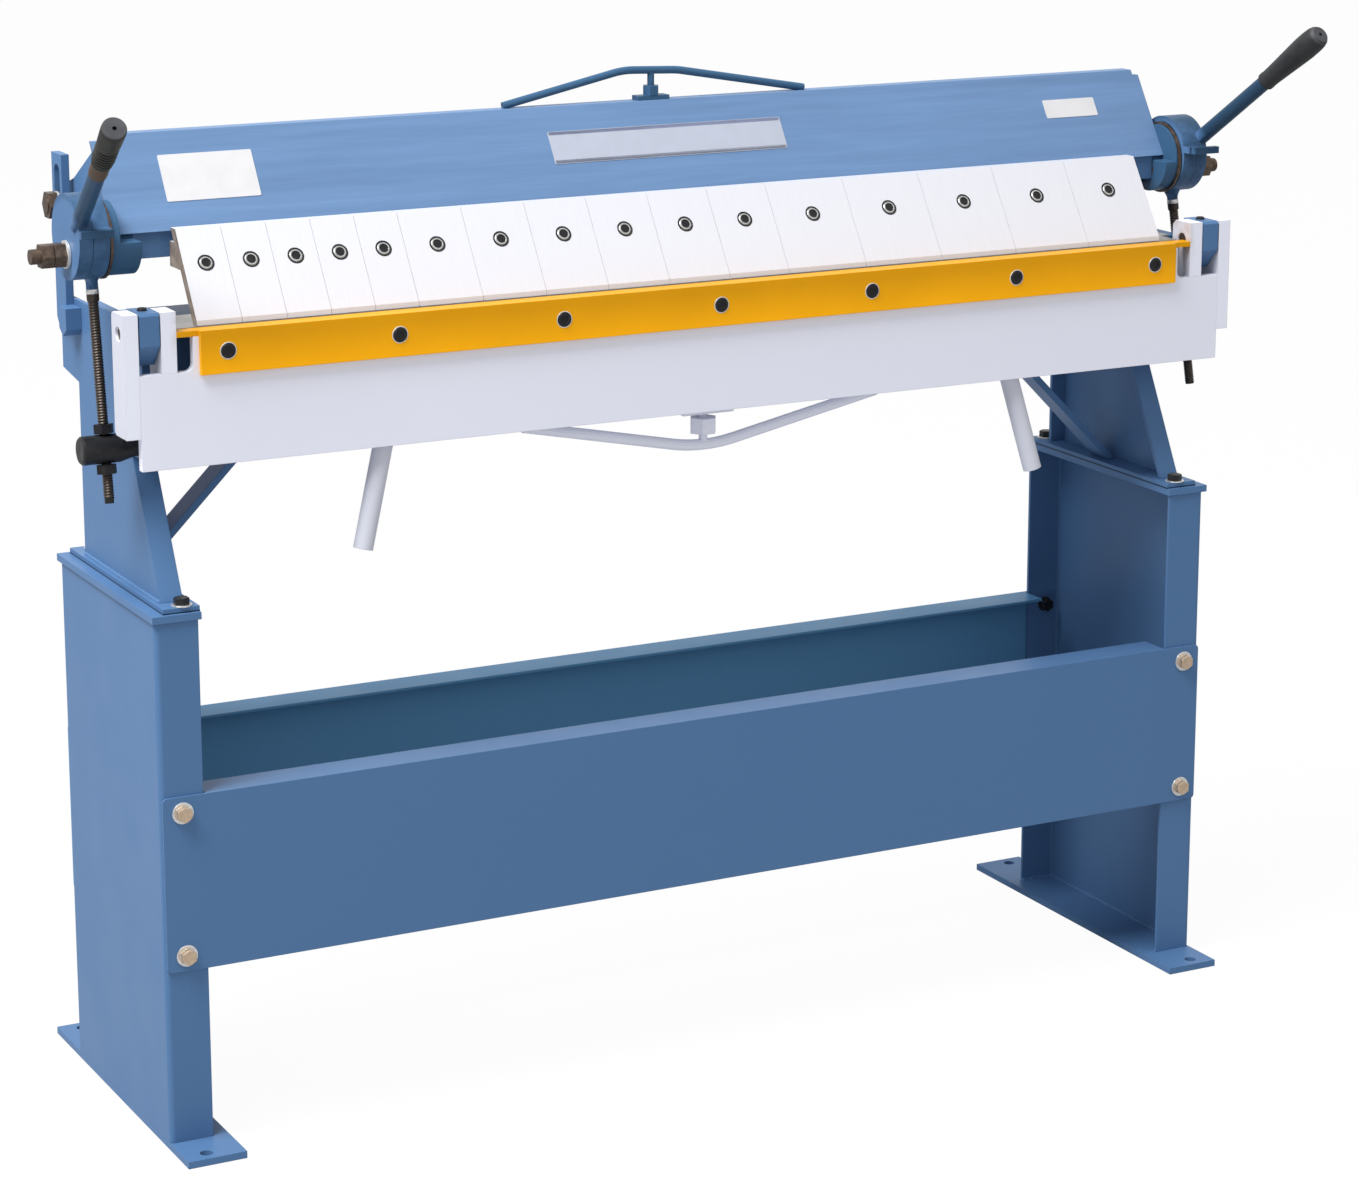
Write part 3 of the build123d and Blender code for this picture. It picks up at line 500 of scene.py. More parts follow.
def mix_materials():
    """All the finishes of the brake."""
    paint = settings("paint")
    metal = settings("metal")
    plate = settings("plate")
    MATERIALS.update({
        "blue": satin_paint("blue_enamel", paint.blue),
        # Painted light: the beam front takes the lighter beam blue.
        "beam": satin_paint("beam_painted_light_enamel", paint.beam, 0.02, 0.08),
        # Painted shade colour for the inside of the rear panel.
        "inside": satin_paint("inside_painted_shade_enamel", paint.inside),
        "shade": satin_paint("shade_enamel", tinted(paint.shade, 1.5)),
        # Painted light and shade on the clamps; the right clamp has a darker painted shade, as the right
        # end lies away from the key lamp.
        "clamp_left": clamp_painted_light("left_clamp_painted_light_enamel", paint.blue, paint.shade),
        "clamp_right": clamp_painted_light("right_clamp_painted_light_enamel", paint.blue, tinted(paint.shade, 0.7)),
        "pale": satin_paint("pale_enamel", paint.pale, 0.01),
        # The cheeks take a slightly lighter copy of the pale colour, with painted shade on their sides.
        "cheek": cheek_shade_and_stain_paint("cheek_shaded_enamel", tinted(paint.pale, 1.03)),
        # Painted shade: the handles take a darker copy of the pale colour of the apron.
        "handle": satin_paint("handle_shaded_enamel", tinted(paint.pale, 0.74), 0.01),
        "finger": ground_face("finger_face", paint.finger),
        "yellow": blade_paint("yellow_enamel", paint.yellow),
        "steel": ground_steel("ground_steel", metal.steel),
        "zinc": plated("yellow_zinc", metal.zinc),
        "washer": plated("bright_zinc", metal.washer, 0.28),
        "bright": plated("bright_steel", (0.44, 0.45, 0.44)),
        "bronze": plated("dark_bronze", metal.bronze, 0.4),
        "black": blackened("black_steel", metal.black),
        "rubber": moulded_rubber("black_rubber", metal.rubber),
        "ribbed": moulded_rubber("ribbed_rubber", (0.010, 0.011, 0.008)),
        "thread": plated("oiled_thread", (0.060, 0.048, 0.040), 0.36),
        "cap": moulded_rubber("grey_rubber", (0.045, 0.046, 0.052)),
        # Painted shadow for the gaps under the end frames.
        "gap_shadow": satin_paint("gap_shadow_enamel", tinted(paint.shade, 0.5)),
        "rust": rusty_band("brown_band"),
        "white_foil": foil_face("white_foil", plate.white),
        "silver_foil": foil_face("silver_foil", plate.silver),
        "blue_foil": foil_face("blue_foil", plate.band),
    })
    for side in SIDES:
        face = ring_face(side) + BUSH_END
        MATERIALS[f"shaft_{side}"] = banded_steel(f"shaft_metal_{side}", face - 0.5 * MM,
                                                  face + WASHER_THICK + 0.2 * MM)
    bar_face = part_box("slotted_bar_right")[1].x - BAR_THICK
    MATERIALS["pivot"] = banded_steel("pivot_metal", bar_face - 0.2 * MM, bar_face + WASHER_THICK)


def coat(names, material):
    """Give CAD parts one of the finishes."""
    for name in names:
        part = parts[name]
        part.data.materials.clear()
        part.data.materials.append(MATERIALS[material])


def both(*names):
    """The left and right part of each name."""
    return [f"{name}_{side}" for name in names for side in SIDES]


def drop_selection():
    """Deselect every object."""
    if bpy.context.object and bpy.context.object.mode != "OBJECT":
        bpy.ops.object.mode_set(mode="OBJECT")
    bpy.ops.object.select_all(action="DESELECT")


def choose(*pieces):
    """Select these objects alone, with the first of them active."""
    drop_selection()
    for piece in pieces:
        piece.select_set(True)
    bpy.context.view_layer.objects.active = pieces[0]


def pick(kind, test):
    """In edit mode, select only the faces, or only the edges, that pass a test."""
    mesh = bmesh.from_edit_mesh(bpy.context.object.data)
    bpy.ops.mesh.select_all(action="DESELECT")
    bpy.ops.mesh.select_mode(type=kind)
    for element in mesh.faces if kind == "FACE" else mesh.edges:
        element.select = test(element)
    bmesh.update_edit_mesh(bpy.context.object.data)


def standing(centre, normal):
    """Matrix that puts local Z on a surface's normal at a point, and local X along the bed."""
    along = Vector((1.0, 0.0, 0.0))
    z = normal.normalized()
    x = (along - along.dot(z) * z).normalized()
    turned = Matrix((x, z.cross(x), z)).transposed().to_4x4()
    return Matrix.Translation(centre) @ turned


def copies(model, places):
    """One joined mesh with a copy of a model at each place; the model itself is removed."""
    made = []
    for place in places:
        piece = model.copy()
        piece.data = model.data.copy()
        piece.data.transform(place)
        bpy.context.collection.objects.link(piece)
        made.append(piece)
    bpy.data.objects.remove(model)
    choose(*made)
    if len(made) > 1:
        bpy.ops.object.join()
    return bpy.context.object


def settle(piece, name, body, smooth=30.0):
    """Name a finished piece and let it ride on a body."""
    piece.name = name
    piece.data.name = name
    choose(piece)
    bpy.ops.object.transform_apply(location=True, rotation=True, scale=True)
    bpy.ops.object.shade_smooth_by_angle(angle=math.radians(smooth))
    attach(piece, body)
    return piece


def turned_profile(points):
    """A closed solid turned round local Z from points of (radius, height) in millimetres."""
    sides = 40
    drop_selection()
    radius, height = points[0]
    bpy.ops.mesh.primitive_circle_add(vertices=sides, radius=radius * MM, location=(0, 0, height * MM))
    ring = bpy.context.object
    bpy.ops.object.transform_apply(location=True)
    bpy.ops.object.mode_set(mode="EDIT")
    bpy.ops.mesh.select_all(action="SELECT")
    bpy.ops.mesh.edge_face_add()
    bpy.ops.mesh.flip_normals()
    for next_radius, next_height in points[1:]:
        factor = next_radius / radius
        rise = (next_height - height) * MM
        bpy.ops.mesh.extrude_region_move(TRANSFORM_OT_translate={"value": (0, 0, rise)})
        bpy.ops.transform.resize(value=(factor, factor, 1.0))
        radius, height = next_radius, next_height
    bpy.ops.mesh.select_all(action="SELECT")
    bpy.ops.mesh.normals_make_consistent(inside=False)
    bpy.ops.object.mode_set(mode="OBJECT")
    return ring


def dress(piece, *materials, test=None):
    """Give a new piece its finishes: the first all over, and the second on the faces that pass a test."""
    for material in materials:
        piece.data.materials.append(MATERIALS[material])
    for face in piece.data.polygons:
        face.material_index = 1 if test and test(face) else 0
    return piece


def joined(*pieces):
    """Several pieces made into one mesh."""
    choose(*pieces)
    bpy.ops.object.join()
    return bpy.context.object


def hex_head(across, height, washer_radius, washer_height, washer_finish, head_finish):
    """Hexagon head with its top corners chamfered, on a round washer; millimetres, standing on z = 0."""
    washer = turned_profile([
        (washer_radius - 0.4, 0.0), (washer_radius, 0.3), (washer_radius, washer_height - 0.3),
        (washer_radius - 0.4, washer_height)])
    dress(washer, washer_finish)
    drop_selection()
    bpy.ops.mesh.primitive_cylinder_add(vertices=6, radius=across / math.sqrt(3) * MM, depth=height * MM,
                                        location=(0, 0, (washer_height + height / 2) * MM))
    head = bpy.context.object
    bpy.ops.object.transform_apply(location=True)
    bpy.ops.object.mode_set(mode="EDIT")
    pick("FACE", lambda face: face.normal.z > 0.9)
    bpy.ops.mesh.inset(thickness=across * 0.06 * MM, depth=0.0)
    bpy.ops.transform.translate(value=(0, 0, across * 0.035 * MM))
    bpy.ops.mesh.inset(thickness=across * 0.09 * MM, depth=-0.35 * MM)
    bpy.ops.object.mode_set(mode="OBJECT")
    return joined(washer, dress(head, head_finish))


def sunk(piece, wide, depth):
    """Inset the flat top of a turned piece by a width and push its middle down; millimetres."""
    choose(piece)
    bpy.ops.object.mode_set(mode="EDIT")
    pick("FACE", lambda face: face.normal.z > 0.9 and len(face.verts) > 10)
    bpy.ops.mesh.inset(thickness=wide * MM, depth=0.0)
    bpy.ops.mesh.extrude_region_move(TRANSFORM_OT_translate={"value": (0, 0, -depth * MM)})
    bpy.ops.object.mode_set(mode="OBJECT")
    return piece


def socket_head(radius, rise, socket, rim, rim_finish, head_finish):
    """Socket screw in its seat: a rim, a chamfered head and a dark socket; millimetres, on z = 0."""
    ring = turned_profile([(rim, -0.2), (rim, 0.35), (rim - 0.4, 0.6), (radius + 0.1, 0.6),
                           (radius + 0.05, -0.1)])
    chamfer = 1.0
    head = turned_profile([(radius, -0.2), (radius, rise - chamfer), (radius - chamfer, rise)])
    sunk(head, radius - chamfer - socket, rise - 0.15)
    reach = (socket + 0.05) * MM
    dress(head, head_finish, "black", test=lambda face: face.center.xy.length < reach
          and all(head.data.vertices[i].co.xy.length < reach for i in face.vertices))
    return joined(dress(ring, rim_finish), head)


def thread(radius, length, pitch, depth):
    """A helical thread round local Z, from z = 0 up to a length; sizes in metres."""
    steps = 14
    drop_selection()
    bpy.ops.mesh.primitive_plane_add(size=pitch)
    profile = bpy.context.object
    mesh = bmesh.new()
    low = mesh.verts.new((radius - depth, 0.0, 0.0))
    crest = mesh.verts.new((radius, 0.0, pitch * 0.5))
    high = mesh.verts.new((radius - depth, 0.0, pitch))
    mesh.edges.new((low, crest))
    mesh.edges.new((crest, high))
    mesh.to_mesh(profile.data)
    mesh.free()
    turns = profile.modifiers.new("turns", "SCREW")
    turns.screw_offset = pitch
    turns.iterations = max(1, round(length / pitch) - 1)
    turns.steps = steps
    turns.render_steps = steps
    turns.use_merge_vertices = True
    turns.merge_threshold = pitch * 0.02
    turns.use_normal_calculate = True
    bpy.ops.object.modifier_apply(modifier=turns.name)
    bpy.ops.object.mode_set(mode="EDIT")
    bpy.ops.mesh.select_all(action="SELECT")
    bpy.ops.mesh.normals_make_consistent(inside=False)
    bpy.ops.object.mode_set(mode="OBJECT")
    return profile


def weld_row(start, end, step):
    """Places of the ripples of a weld from one point to another."""
    run = end - start
    count = max(2, round(run.length / step))
    turned = run.to_track_quat("X", "Z").to_matrix().to_4x4()
    places = []
    for i in range(count):
        swell = 1.0 + 0.12 * math.sin(i * 2.4) + 0.05 * math.sin(i * 0.7)
        at = Matrix.Translation(start + run * ((i + 0.5) / count))
        places.append(at @ turned @ Matrix.Diagonal((1.0, swell, swell, 1.0)))
    return places


def weld_ripple(radius, step):
    """One ripple of a weld: a flat scale along local X."""
    drop_selection()
    bpy.ops.mesh.primitive_uv_sphere_add(segments=8, ring_count=6, radius=1.0)
    bpy.ops.transform.resize(value=(step * 0.85, radius, radius))
    bpy.ops.object.transform_apply(scale=True)
    return bpy.context.object


def gap_shadow(x0, x1, y0, y1, z, height):
    """Painted gap shadow: a dark strip round the foot of a plate, from its corners in metres."""
    drop_selection()
    middle = ((x0 + x1) / 2, (y0 + y1) / 2, z + height / 2)
    bpy.ops.mesh.primitive_cube_add(size=1.0, location=middle, scale=(abs(x1 - x0), y1 - y0, height))
    strip = bpy.context.object
    bpy.ops.object.transform_apply(location=True, rotation=True, scale=True)
    return dress(strip, "gap_shadow")


class BRAKE_OT_stand(bpy.types.Operator):
    """Coat the stand, its panels and the bed, and lay a strip of painted shadow in the gap under each end
    frame
    """

    bl_idname = "brake.stand"
    bl_label = "Stand and bed"

    def execute(self, context):
        coat(["front_panel", "bed_trough"] + both("leg", "foot_plate", "frame_seat", "end_frame",
                                                  "end_strut", "end_plate", "slotted_bar"), "blue")
        coat(["rear_panel"], "inside")
        coat(["bed_plate"], "steel")
        coat(both("hinge_pin"), "bronze")
        coat(both("rear_pivot"), "pivot")
        proud = 0.25 * MM
        gap_shadow_height = 1.6 * MM
        # Painted shadow: a dark strip round the foot of each end frame's seat plate stands in for the
        # shadow in the gap there.
        for side, sign in SIDES.items():
            low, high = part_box(f"frame_seat_{side}")
            inner = (low.x if sign > 0 else high.x) - sign * proud
            outer = inner + sign * (BASE_WIDTH + 2 * proud)
            foot = high.z - BASE_THICK - 0.2 * MM
            strip = gap_shadow(inner, outer, low.y + BASE_INSET - proud, high.y - BASE_INSET + proud,
                         foot, gap_shadow_height)
            settle(strip, f"seat_gap_shadow_{side}", "stand")
        return {"FINISHED"}


class BRAKE_OT_apron(bpy.types.Operator):
    """Coat the folding apron, its blade and its handles"""

    bl_idname = "brake.apron"
    bl_label = "Apron"

    def execute(self, context):
        coat(["apron_plate", "apron_truss"], "pale")
        coat(both("inner_cheek", "outer_cheek"), "cheek")
        coat(both("apron_handle"), "handle")
        coat(["bending_blade"], "yellow")
        return {"FINISHED"}


class BRAKE_OT_beam(bpy.types.Operator):
    """Coat the clamping beam and its fingers"""

    bl_idname = "brake.beam"
    bl_label = "Clamping beam"

    def execute(self, context):
        coat(["beam_front"], "beam")
        coat(["beam_rear", "beam_floor", "clamp_bar"] + both("beam_end"), "blue")
        coat(["beam_truss"] + both("shaft_block"), "shade")
        coat(["fingers"], "finger")
        return {"FINISHED"}


def lever_axis(side):
    """Start of a lever and the way that it points."""
    start = LEVER_START.copy()
    start.x = SIDES[side] * (ring_face(side) + LEVER_ROOT)
    return start, (LEVER_TIP[side] - start).normalized()


def grip(side):
    """Moulded grip on the end of a lever: ribbed on the left, plain and swollen on the right."""
    if side == "left":
        ribs = 6
        first_rib = 36.5
        rib_pitch = 5.4
        profile = [(10.4, 27.0), (11.2, 27.4), (11.3, 30.4), (10.9, 31.0), (11.7, 32.5), (11.8, 35.0)]
        for i in range(ribs):
            rib = first_rib + rib_pitch * i
            profile += [(10.1, rib), (10.1, rib + 1.6), (12.2, rib + 2.2), (12.2, rib + 4.8)]
        profile += [(12.5, 71.0), (13.0, 86.0), (13.2, 99.0), (12.9, 102.5), (11.8, GRIP_LENGTH)]
    else:
        profile = [(10.3, 0.0), (11.2, 0.6), (11.3, 5.0), (10.9, 6.2), (11.3, 16.0), (12.6, 38.0),
                   (14.0, 60.0), (14.8, 74.0), (14.8, 86.0), (14.2, 95.0), (12.8, 100.5),
                   (10.2, GRIP_LENGTH)]
    hole_radius = 2.3
    hole_depth = 9.0
    body = turned_profile(profile)
    sunk(body, profile[-1][0] - hole_radius, hole_depth)
    end = profile[-2][1] * MM
    return dress(body, "ribbed" if side == "left" else "rubber", "cap",
                 test=lambda face: face.center.z > end and face.normal.z > 0.3)


class BRAKE_OT_clamps(bpy.types.Operator):
    """Coat the eccentric clamps and mould their grips"""

    bl_idname = "brake.clamps"
    bl_label = "Clamps"

    def execute(self, context):
        coat(both("clamp_rod", "trunnion"), "black")
        for side in SIDES:
            coat([f"lever_{side}", f"strap_{side}"], f"clamp_{side}")
            coat([f"clamp_shaft_{side}"], f"shaft_{side}")
            start, way = lever_axis(side)
            foot = LEVER_TIP[side] - way * GRIP_LENGTH * MM
            place = Matrix.Translation(foot) @ way.to_track_quat("Z", "Y").to_matrix().to_4x4()
            made = copies(grip(side), [place])
            settle(made, f"grip_{side}", f"clamp_lever_{side}", 40.0)
            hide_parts(f"lever_grip_{side}")
            if side == "left":
                band = turned_profile([(9.1, 0.0), (9.9, 0.8), (10.1, 9.0), (9.9, 18.0), (10.0, 27.2)])
                made = copies(dress(band, "rust"), [place])
                settle(made, "grip_band_left", f"clamp_lever_{side}", 40.0)
        return {"FINISHED"}


class BRAKE_OT_bolts(bpy.types.Operator):
    """Hexagon bolts of the panels and of the end frames"""

    bl_idname = "brake.bolts"
    bl_label = "Bolts"

    def execute(self, context):
        low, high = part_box("panel_bolts")
        washer = 12.0 * MM
        walls = PANEL_SHEET + LEG_SHEET
        front_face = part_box("front_panel")[0].y
        rear_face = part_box("rear_panel")[1].y
        places = []
        nuts = []
        for x in (low.x + washer, high.x - washer):
            for z in (low.z + washer, high.z - washer):
                places.append(standing(Vector((x, front_face, z)), FRONT))
                places.append(standing(Vector((x, rear_face, z)), BACK))
                nuts.append(standing(Vector((x, front_face + walls, z)), BACK))
                nuts.append(standing(Vector((x, rear_face - walls, z)), FRONT))
        bolts = copies(hex_head(across=16.0, height=7.0, washer_radius=12.0, washer_height=2.0,
                                washer_finish="washer", head_finish="zinc"), places)
        settle(bolts, "panel_bolt_heads", "stand")
        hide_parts("panel_bolts")
        inner = copies(hex_head(across=15.0, height=8.0, washer_radius=9.5, washer_height=1.6,
                                washer_finish="black", head_finish="black"), nuts)
        settle(inner, "panel_bolt_nuts", "stand")
        for side in SIDES:
            low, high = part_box(f"frame_bolts_{side}")
            x = (low.x + high.x) / 2
            ends = [Vector((x, y, low.z)) for y in (low.y + washer, high.y - washer)]
            model = hex_head(across=15.0, height=7.0, washer_radius=11.5, washer_height=1.6,
                             washer_finish="washer", head_finish="black")
            heads = copies(model, [standing(end, UP) for end in ends])
            settle(heads, f"frame_bolt_heads_{side}", "stand")
            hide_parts(f"frame_bolts_{side}")
        return {"FINISHED"}


class BRAKE_OT_screws(bpy.types.Operator):
    """Socket screws of the fingers, of the blade and of the hinge lugs"""

    bl_idname = "brake.screws"
    bl_label = "Socket screws"

    def execute(self, context):
        widths = [2 * INCH] * 5 + [3 * INCH] * 6 + [4 * INCH] * 5
        low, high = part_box("finger_screws")
        run = Vector((0.0, FINGER_TOP_Y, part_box("fingers")[1].z)) - HINGE
        outward = Vector((0.0, -run.z, run.y)).normalized()
        height = (low.z + high.z) / 2 - 0.7 * MM
        middle = HINGE + run * (height - HINGE.z) / run.z
        x = -sum(widths) / 2
        places = []
        for width in widths:
            places.append(standing(Vector((x + width / 2, middle.y, middle.z)), outward))
            x += width
        made = copies(socket_head(radius=7.5, rise=1.0, socket=5.2, rim=9.3, rim_finish="black",
                                  head_finish="bright"), places)
        settle(made, "finger_screw_heads", "clamping_beam")
        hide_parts("finger_screws")
        low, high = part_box("blade_screws")
        screws = 7
        end_radius = 9.5 * MM
        left = low.x + end_radius
        pitch = (high.x - end_radius - left) / (screws - 1)
        height = (low.z + high.z) / 2
        places = [standing(Vector((left + pitch * i, high.y, height)), FRONT) for i in range(screws)]
        made = copies(socket_head(radius=8.3, rise=1.2, socket=4.2, rim=9.4, rim_finish="washer",
                                  head_finish="black"), places)
        settle(made, "blade_screw_heads", "apron")
        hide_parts("blade_screws")
        lug_middle = 0.669
        for side, sign in SIDES.items():
            lug_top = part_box(f"end_plate_{side}")[1].z
            place = standing(Vector((sign * lug_middle, HINGE.y + 4.0 * MM, lug_top)), UP)
            made = copies(socket_head(radius=5.0, rise=3.0, socket=2.6, rim=5.6, rim_finish="black",
                                      head_finish="black"), [place])
            settle(made, f"lug_screw_{side}", "stand")
        return {"FINISHED"}


def rod_line(side):
    """Centre of a cam, middle of its trunnion, and the way from one to the other."""
    strap_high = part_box(f"strap_{side}")[1]
    cam = Vector((SIDES[side] * (ring_face(side) + CAM_MIDDLE), strap_high.y - CAM_RADIUS,
                  strap_high.z - CAM_RADIUS))
    low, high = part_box(f"trunnion_{side}")
    foot = Vector((SIDES[side] * ROD_FOOT[side], (low.y + high.y) / 2, (low.z + high.z) / 2))
    return cam, foot, (foot - cam).normalized()


def rod_collar():
    """Bright collar under the strap's neck, with the dark run-out of the thread below it."""
    collar = turned_profile([(6.6, NECK_END), (6.9, NECK_END + 0.4), (6.9, COLLAR_END - 0.4),
                             (6.7, COLLAR_END), (6.7, 68.3), (6.0, 70.0)])
    return dress(collar, "washer", "thread", test=lambda face: face.center.z > COLLAR_END * MM)


def strap_neck(side):
    """Neck that narrows from the strap's ring down to the rod."""
    neck = turned_profile([(14.5, 42.0), (12.0, 45.5), (9.8, 48.5), (8.2, 51.5), (7.2, 54.5),
                           (6.8, NECK_END + 0.2)])
    return dress(neck, f"clamp_{side}")


class BRAKE_OT_threads(bpy.types.Operator):
    """Threads, collars and necks of the clamp rods, and the threads of the shaft ends"""

    bl_idname = "brake.threads"
    bl_label = "Threads"

    def execute(self, context):
        screw = settings("screw")
        flat = 0.62
        for side, sign in SIDES.items():
            link = f"clamp_link_{side}"
            cam, foot, way = rod_line(side)
            turned = way.to_track_quat("Z", "X").to_matrix().to_4x4()
            top = cam + way * ROD_TOP
            length = (foot - top).length + ROD_BELOW
            crest = ROD_CORE + screw.thread_depth * 0.9
            model = thread(crest, length, screw.pitch, screw.thread_depth)
            made = copies(dress(model, "thread"), [Matrix.Translation(top) @ turned])
            settle(made, f"rod_thread_{side}", link)
            made = copies(rod_collar(), [Matrix.Translation(cam) @ turned])
            settle(made, f"rod_collar_{side}", link)
            turned = way.to_track_quat("Z", "Y").to_matrix().to_4x4()
            squeeze = Matrix.Diagonal((1.0, flat, 1.0, 1.0))
            if abs((turned @ Vector((1.0, 0.0, 0.0))).x) > 0.5:
                squeeze = Matrix.Diagonal((flat, 1.0, 1.0, 1.0))
            made = copies(strap_neck(side), [Matrix.Translation(cam) @ turned @ squeeze])
            settle(made, f"strap_neck_{side}", link, 40.0)
            low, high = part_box(f"clamp_shaft_{side}")
            end = high.x if sign > 0 else -low.x
            start = Vector((sign * (end - SHAFT_BARE), SHAFT.y, SHAFT.z))
            turned = Vector((sign, 0, 0)).to_track_quat("Z", "Y").to_matrix().to_4x4()
            crest = SHAFT_CORE + screw.thread_depth * 0.5
            model = thread(crest, SHAFT_BARE, pitch=0.002, depth=0.0011)
            made = copies(dress(model, "bronze"), [Matrix.Translation(start) @ turned])
            settle(made, f"shaft_thread_{side}", "clamping_beam")
        return {"FINISHED"}


class BRAKE_OT_welds(bpy.types.Operator):
    """Painted weld beads of the stand"""

    bl_idname = "brake.welds"
    bl_label = "Weld beads"

    def execute(self, context):
        screw = settings("screw")
        step = screw.bead_step
        seat_back = 0.105
        for side, sign in SIDES.items():
            low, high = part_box(f"leg_{side}")
            inner = high.x - LEG_SHEET if sign > 0 else low.x + LEG_SHEET
            lip = low.x if sign > 0 else high.x
            front_wall = low.y + LEG_SHEET
            back_wall = high.y - LEG_SHEET
            front_corner = Vector((inner, front_wall, low.z))
            back_corner = Vector((inner, back_wall, low.z))
            places = weld_row(front_corner, back_corner, step)
            places += weld_row(Vector((lip, front_wall, low.z)), front_corner, step)
            places += weld_row(Vector((lip, back_wall, low.z)), back_corner, step)
            low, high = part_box(f"end_frame_{side}")
            outer = high.x if sign > 0 else low.x
            places += weld_row(Vector((outer, low.y + 4.0 * MM, low.z)),
                               Vector((outer, seat_back, low.z)), step)
            made = copies(dress(weld_ripple(screw.bead, step), "blue"), places)
            settle(made, f"stand_weld_{side}", "stand", 60.0)
        return {"FINISHED"}


def lay_plate(name, left, right, bottom, top, material):
    """A thin plate on the front of the beam; its height is measured up the slope from the foot."""
    thickness = settings("plate").thickness
    rise = (BEAM_RIDGE - BEAM_FOOT).normalized()
    normal = Vector((0.0, -rise.z, rise.y))
    drop_selection()
    bpy.ops.mesh.primitive_cube_add(size=1.0)
    model = bpy.context.object
    bpy.ops.transform.resize(value=(right - left, top - bottom, thickness))
    bpy.ops.object.transform_apply(scale=True)
    bpy.ops.object.mode_set(mode="EDIT")
    pick("EDGE", lambda edge: abs(edge.verts[0].co.z - edge.verts[1].co.z) > thickness * 0.5)
    bpy.ops.mesh.bevel(offset=1.5 * MM, segments=3, affect="EDGES")
    bpy.ops.object.mode_set(mode="OBJECT")
    centre = BEAM_FOOT + rise * (bottom + top) / 2 + normal * thickness * 0.5
    centre.x = (left + right) / 2
    made = copies(dress(model, material), [standing(centre, normal)])
    settle(made, name, "clamping_beam")


class BRAKE_OT_plates(bpy.types.Operator):
    """Bare plates on the front of the clamping beam"""

    bl_idname = "brake.plates"
    bl_label = "Bare plates"

    def execute(self, context):
        lay_plate("data_plate", left=-0.605, right=-0.4985, bottom=0.0335, top=0.0885,
                  material="white_foil")
        lay_plate("long_plate", left=-0.1445, right=0.1535, bottom=0.0450, top=0.0850,
                  material="silver_foil")
        for name, bottom, top in (("low", 0.0455, 0.0495), ("high", 0.0805, 0.0845)):
            lay_plate(f"long_plate_edge_{name}", left=-0.1435, right=0.1525, bottom=bottom, top=top,
                      material="blue_foil")
        lay_plate("small_plate", left=0.5155, right=0.5885, bottom=0.0590, top=0.0830,
                  material="white_foil")
        return {"FINISHED"}


def soft_lamp(name, place, target, size, power):
    """A large soft lamp that faces a point."""
    data = bpy.data.lights.new(name, "AREA")
    data.shape = "DISK"
    data.size = size
    data.energy = power
    lamp = bpy.data.objects.new(name, data)
    bpy.context.scene.collection.objects.link(lamp)
    lamp.location = place
    lamp.rotation_euler = (Vector(target) - Vector(place)).to_track_quat("-Z", "Y").to_euler()


def white_surround(ambient):
    """World that lights the brake softly, and that the camera and reflections see as plain white."""
    world = bpy.data.worlds.new("white_surround")
    world.use_nodes = True
    tree = world.node_tree
    surround = tree.nodes["Background"]
    surround.inputs["Color"].default_value = (1.0, 1.0, 1.0, 1.0)
    path = tree.nodes.new("ShaderNodeLightPath")
    seen = path.outputs["Is Camera Ray"]
    for ray in ("Is Glossy Ray", "Is Transmission Ray"):
        either = tree.nodes.new("ShaderNodeMath")
        either.operation = "MAXIMUM"
        tree.links.new(seen, either.inputs[0])
        tree.links.new(path.outputs[ray], either.inputs[1])
        seen = either.outputs[0]
    level = tree.nodes.new("ShaderNodeMapRange")
    tree.links.new(seen, level.inputs[0])
    level.inputs["To Min"].default_value = ambient
    level.inputs["To Max"].default_value = 1.0
    tree.links.new(level.outputs[0], surround.inputs["Strength"])
    return world


def floor_finish():
    """Pale floor that keeps a faint shadow and is near white to the camera."""
    recipe = Recipe("studio_floor")
    shadow = recipe.add("ShaderNodeBsdfDiffuse", Color=(0.50, 0.50, 0.505, 1.0))
    glow = recipe.add("ShaderNodeEmission", Color=(1.0, 1.0, 1.0, 1.0), Strength=1.03)
    ray = recipe.add("ShaderNodeLightPath")
    amount = recipe.spread(ray.outputs["Is Camera Ray"], 0.0, 0.93, 0.0, 1.0)
    both_ways = recipe.add("ShaderNodeMixShader", Fac=amount)
    recipe.put(both_ways.inputs[1], shadow.outputs[0])
    recipe.put(both_ways.inputs[2], glow.outputs[0])
    recipe.put(recipe.tree.nodes["Material Output"].inputs["Surface"], both_ways.outputs[0])
    return recipe.material


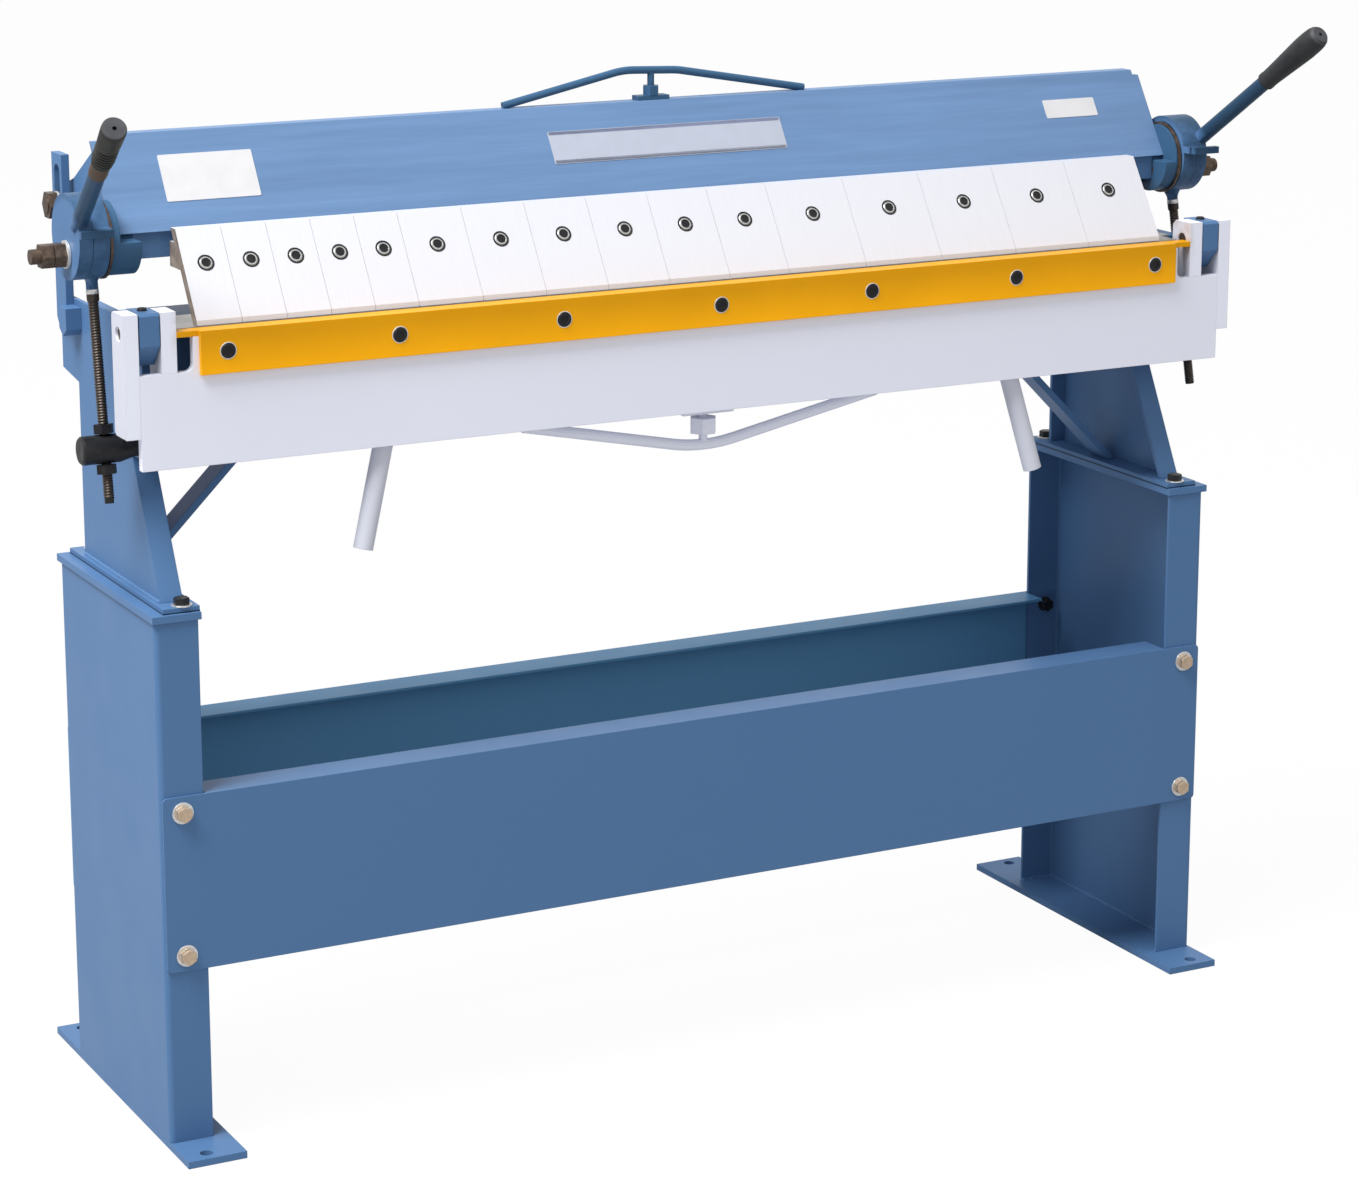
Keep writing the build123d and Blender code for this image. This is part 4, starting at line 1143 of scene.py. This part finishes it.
class BRAKE_OT_stage(bpy.types.Operator):
    """Floor, white surround, lamps and camera"""

    bl_idname = "brake.stage"
    bl_label = "Studio"

    def execute(self, context):
        studio = settings("studio")
        scene = context.scene
        scene.view_settings.view_transform = "Standard"
        scene.world = white_surround(studio.ambient)

        drop_selection()
        bpy.ops.mesh.primitive_plane_add(size=40.0, location=(0.0, 0.0, 0.0))
        floor = bpy.context.object
        floor.name = "floor"
        bpy.ops.object.mode_set(mode="EDIT")
        bpy.ops.mesh.subdivide(number_cuts=4)
        bpy.ops.object.mode_set(mode="OBJECT")
        floor.data.materials.append(floor_finish())

        soft_lamp("key", place=(-3.27, -0.91, 5.74), target=(0.0, 0.0, 0.8), size=3.6,
                  power=studio.key)
        soft_lamp("fill", place=(1.2, -4.6, 2.6), target=(0.0, 0.0, 0.7), size=2.2,
                  power=studio.fill)

        data = bpy.data.cameras.new("view")
        data.sensor_width = 36.0
        data.lens = studio.lens
        data.shift_y = studio.shift
        data.clip_end = 60.0
        camera = bpy.data.objects.new("view", data)
        scene.collection.objects.link(camera)
        camera.location = studio.place
        camera.rotation_euler = (math.pi / 2 - studio.elevation, 0.0, -studio.azimuth)
        scene.camera = camera
        return {"FINISHED"}


OPERATORS = [
    BRAKE_OT_stand, BRAKE_OT_apron, BRAKE_OT_beam, BRAKE_OT_clamps, BRAKE_OT_bolts, BRAKE_OT_screws,
    BRAKE_OT_threads, BRAKE_OT_welds, BRAKE_OT_plates, BRAKE_OT_stage,
]


class BRAKE_PT_panel(bpy.types.Panel):
    """Buttons for the pieces of the brake"""

    bl_idname = "BRAKE_PT_panel"
    bl_label = "Box and Pan Brake"
    bl_space_type = "VIEW_3D"
    bl_region_type = "UI"
    bl_category = "Folder"

    def draw(self, context):
        for operator in OPERATORS:
            self.layout.operator(operator.bl_idname)


def register():
    """Register the classes and give the scene its settings."""
    for group in (*SETTINGS.values(), *OPERATORS, BRAKE_PT_panel):
        bpy.utils.register_class(group)
    for name, group in SETTINGS.items():
        setattr(bpy.types.Scene, name, bpy.props.PointerProperty(type=group))


def unregister():
    """Take the settings and the classes away again."""
    for name in SETTINGS:
        delattr(bpy.types.Scene, name)
    for group in reversed((*SETTINGS.values(), *OPERATORS, BRAKE_PT_panel)):
        bpy.utils.unregister_class(group)


def main():
    """Dress the whole brake."""
    register()
    mix_materials()
    for operator in OPERATORS:
        name = operator.bl_idname.split(".")[1]
        getattr(bpy.ops.brake, name)()
    bpy.context.view_layer.update()


if __name__ == "__main__":
    main()
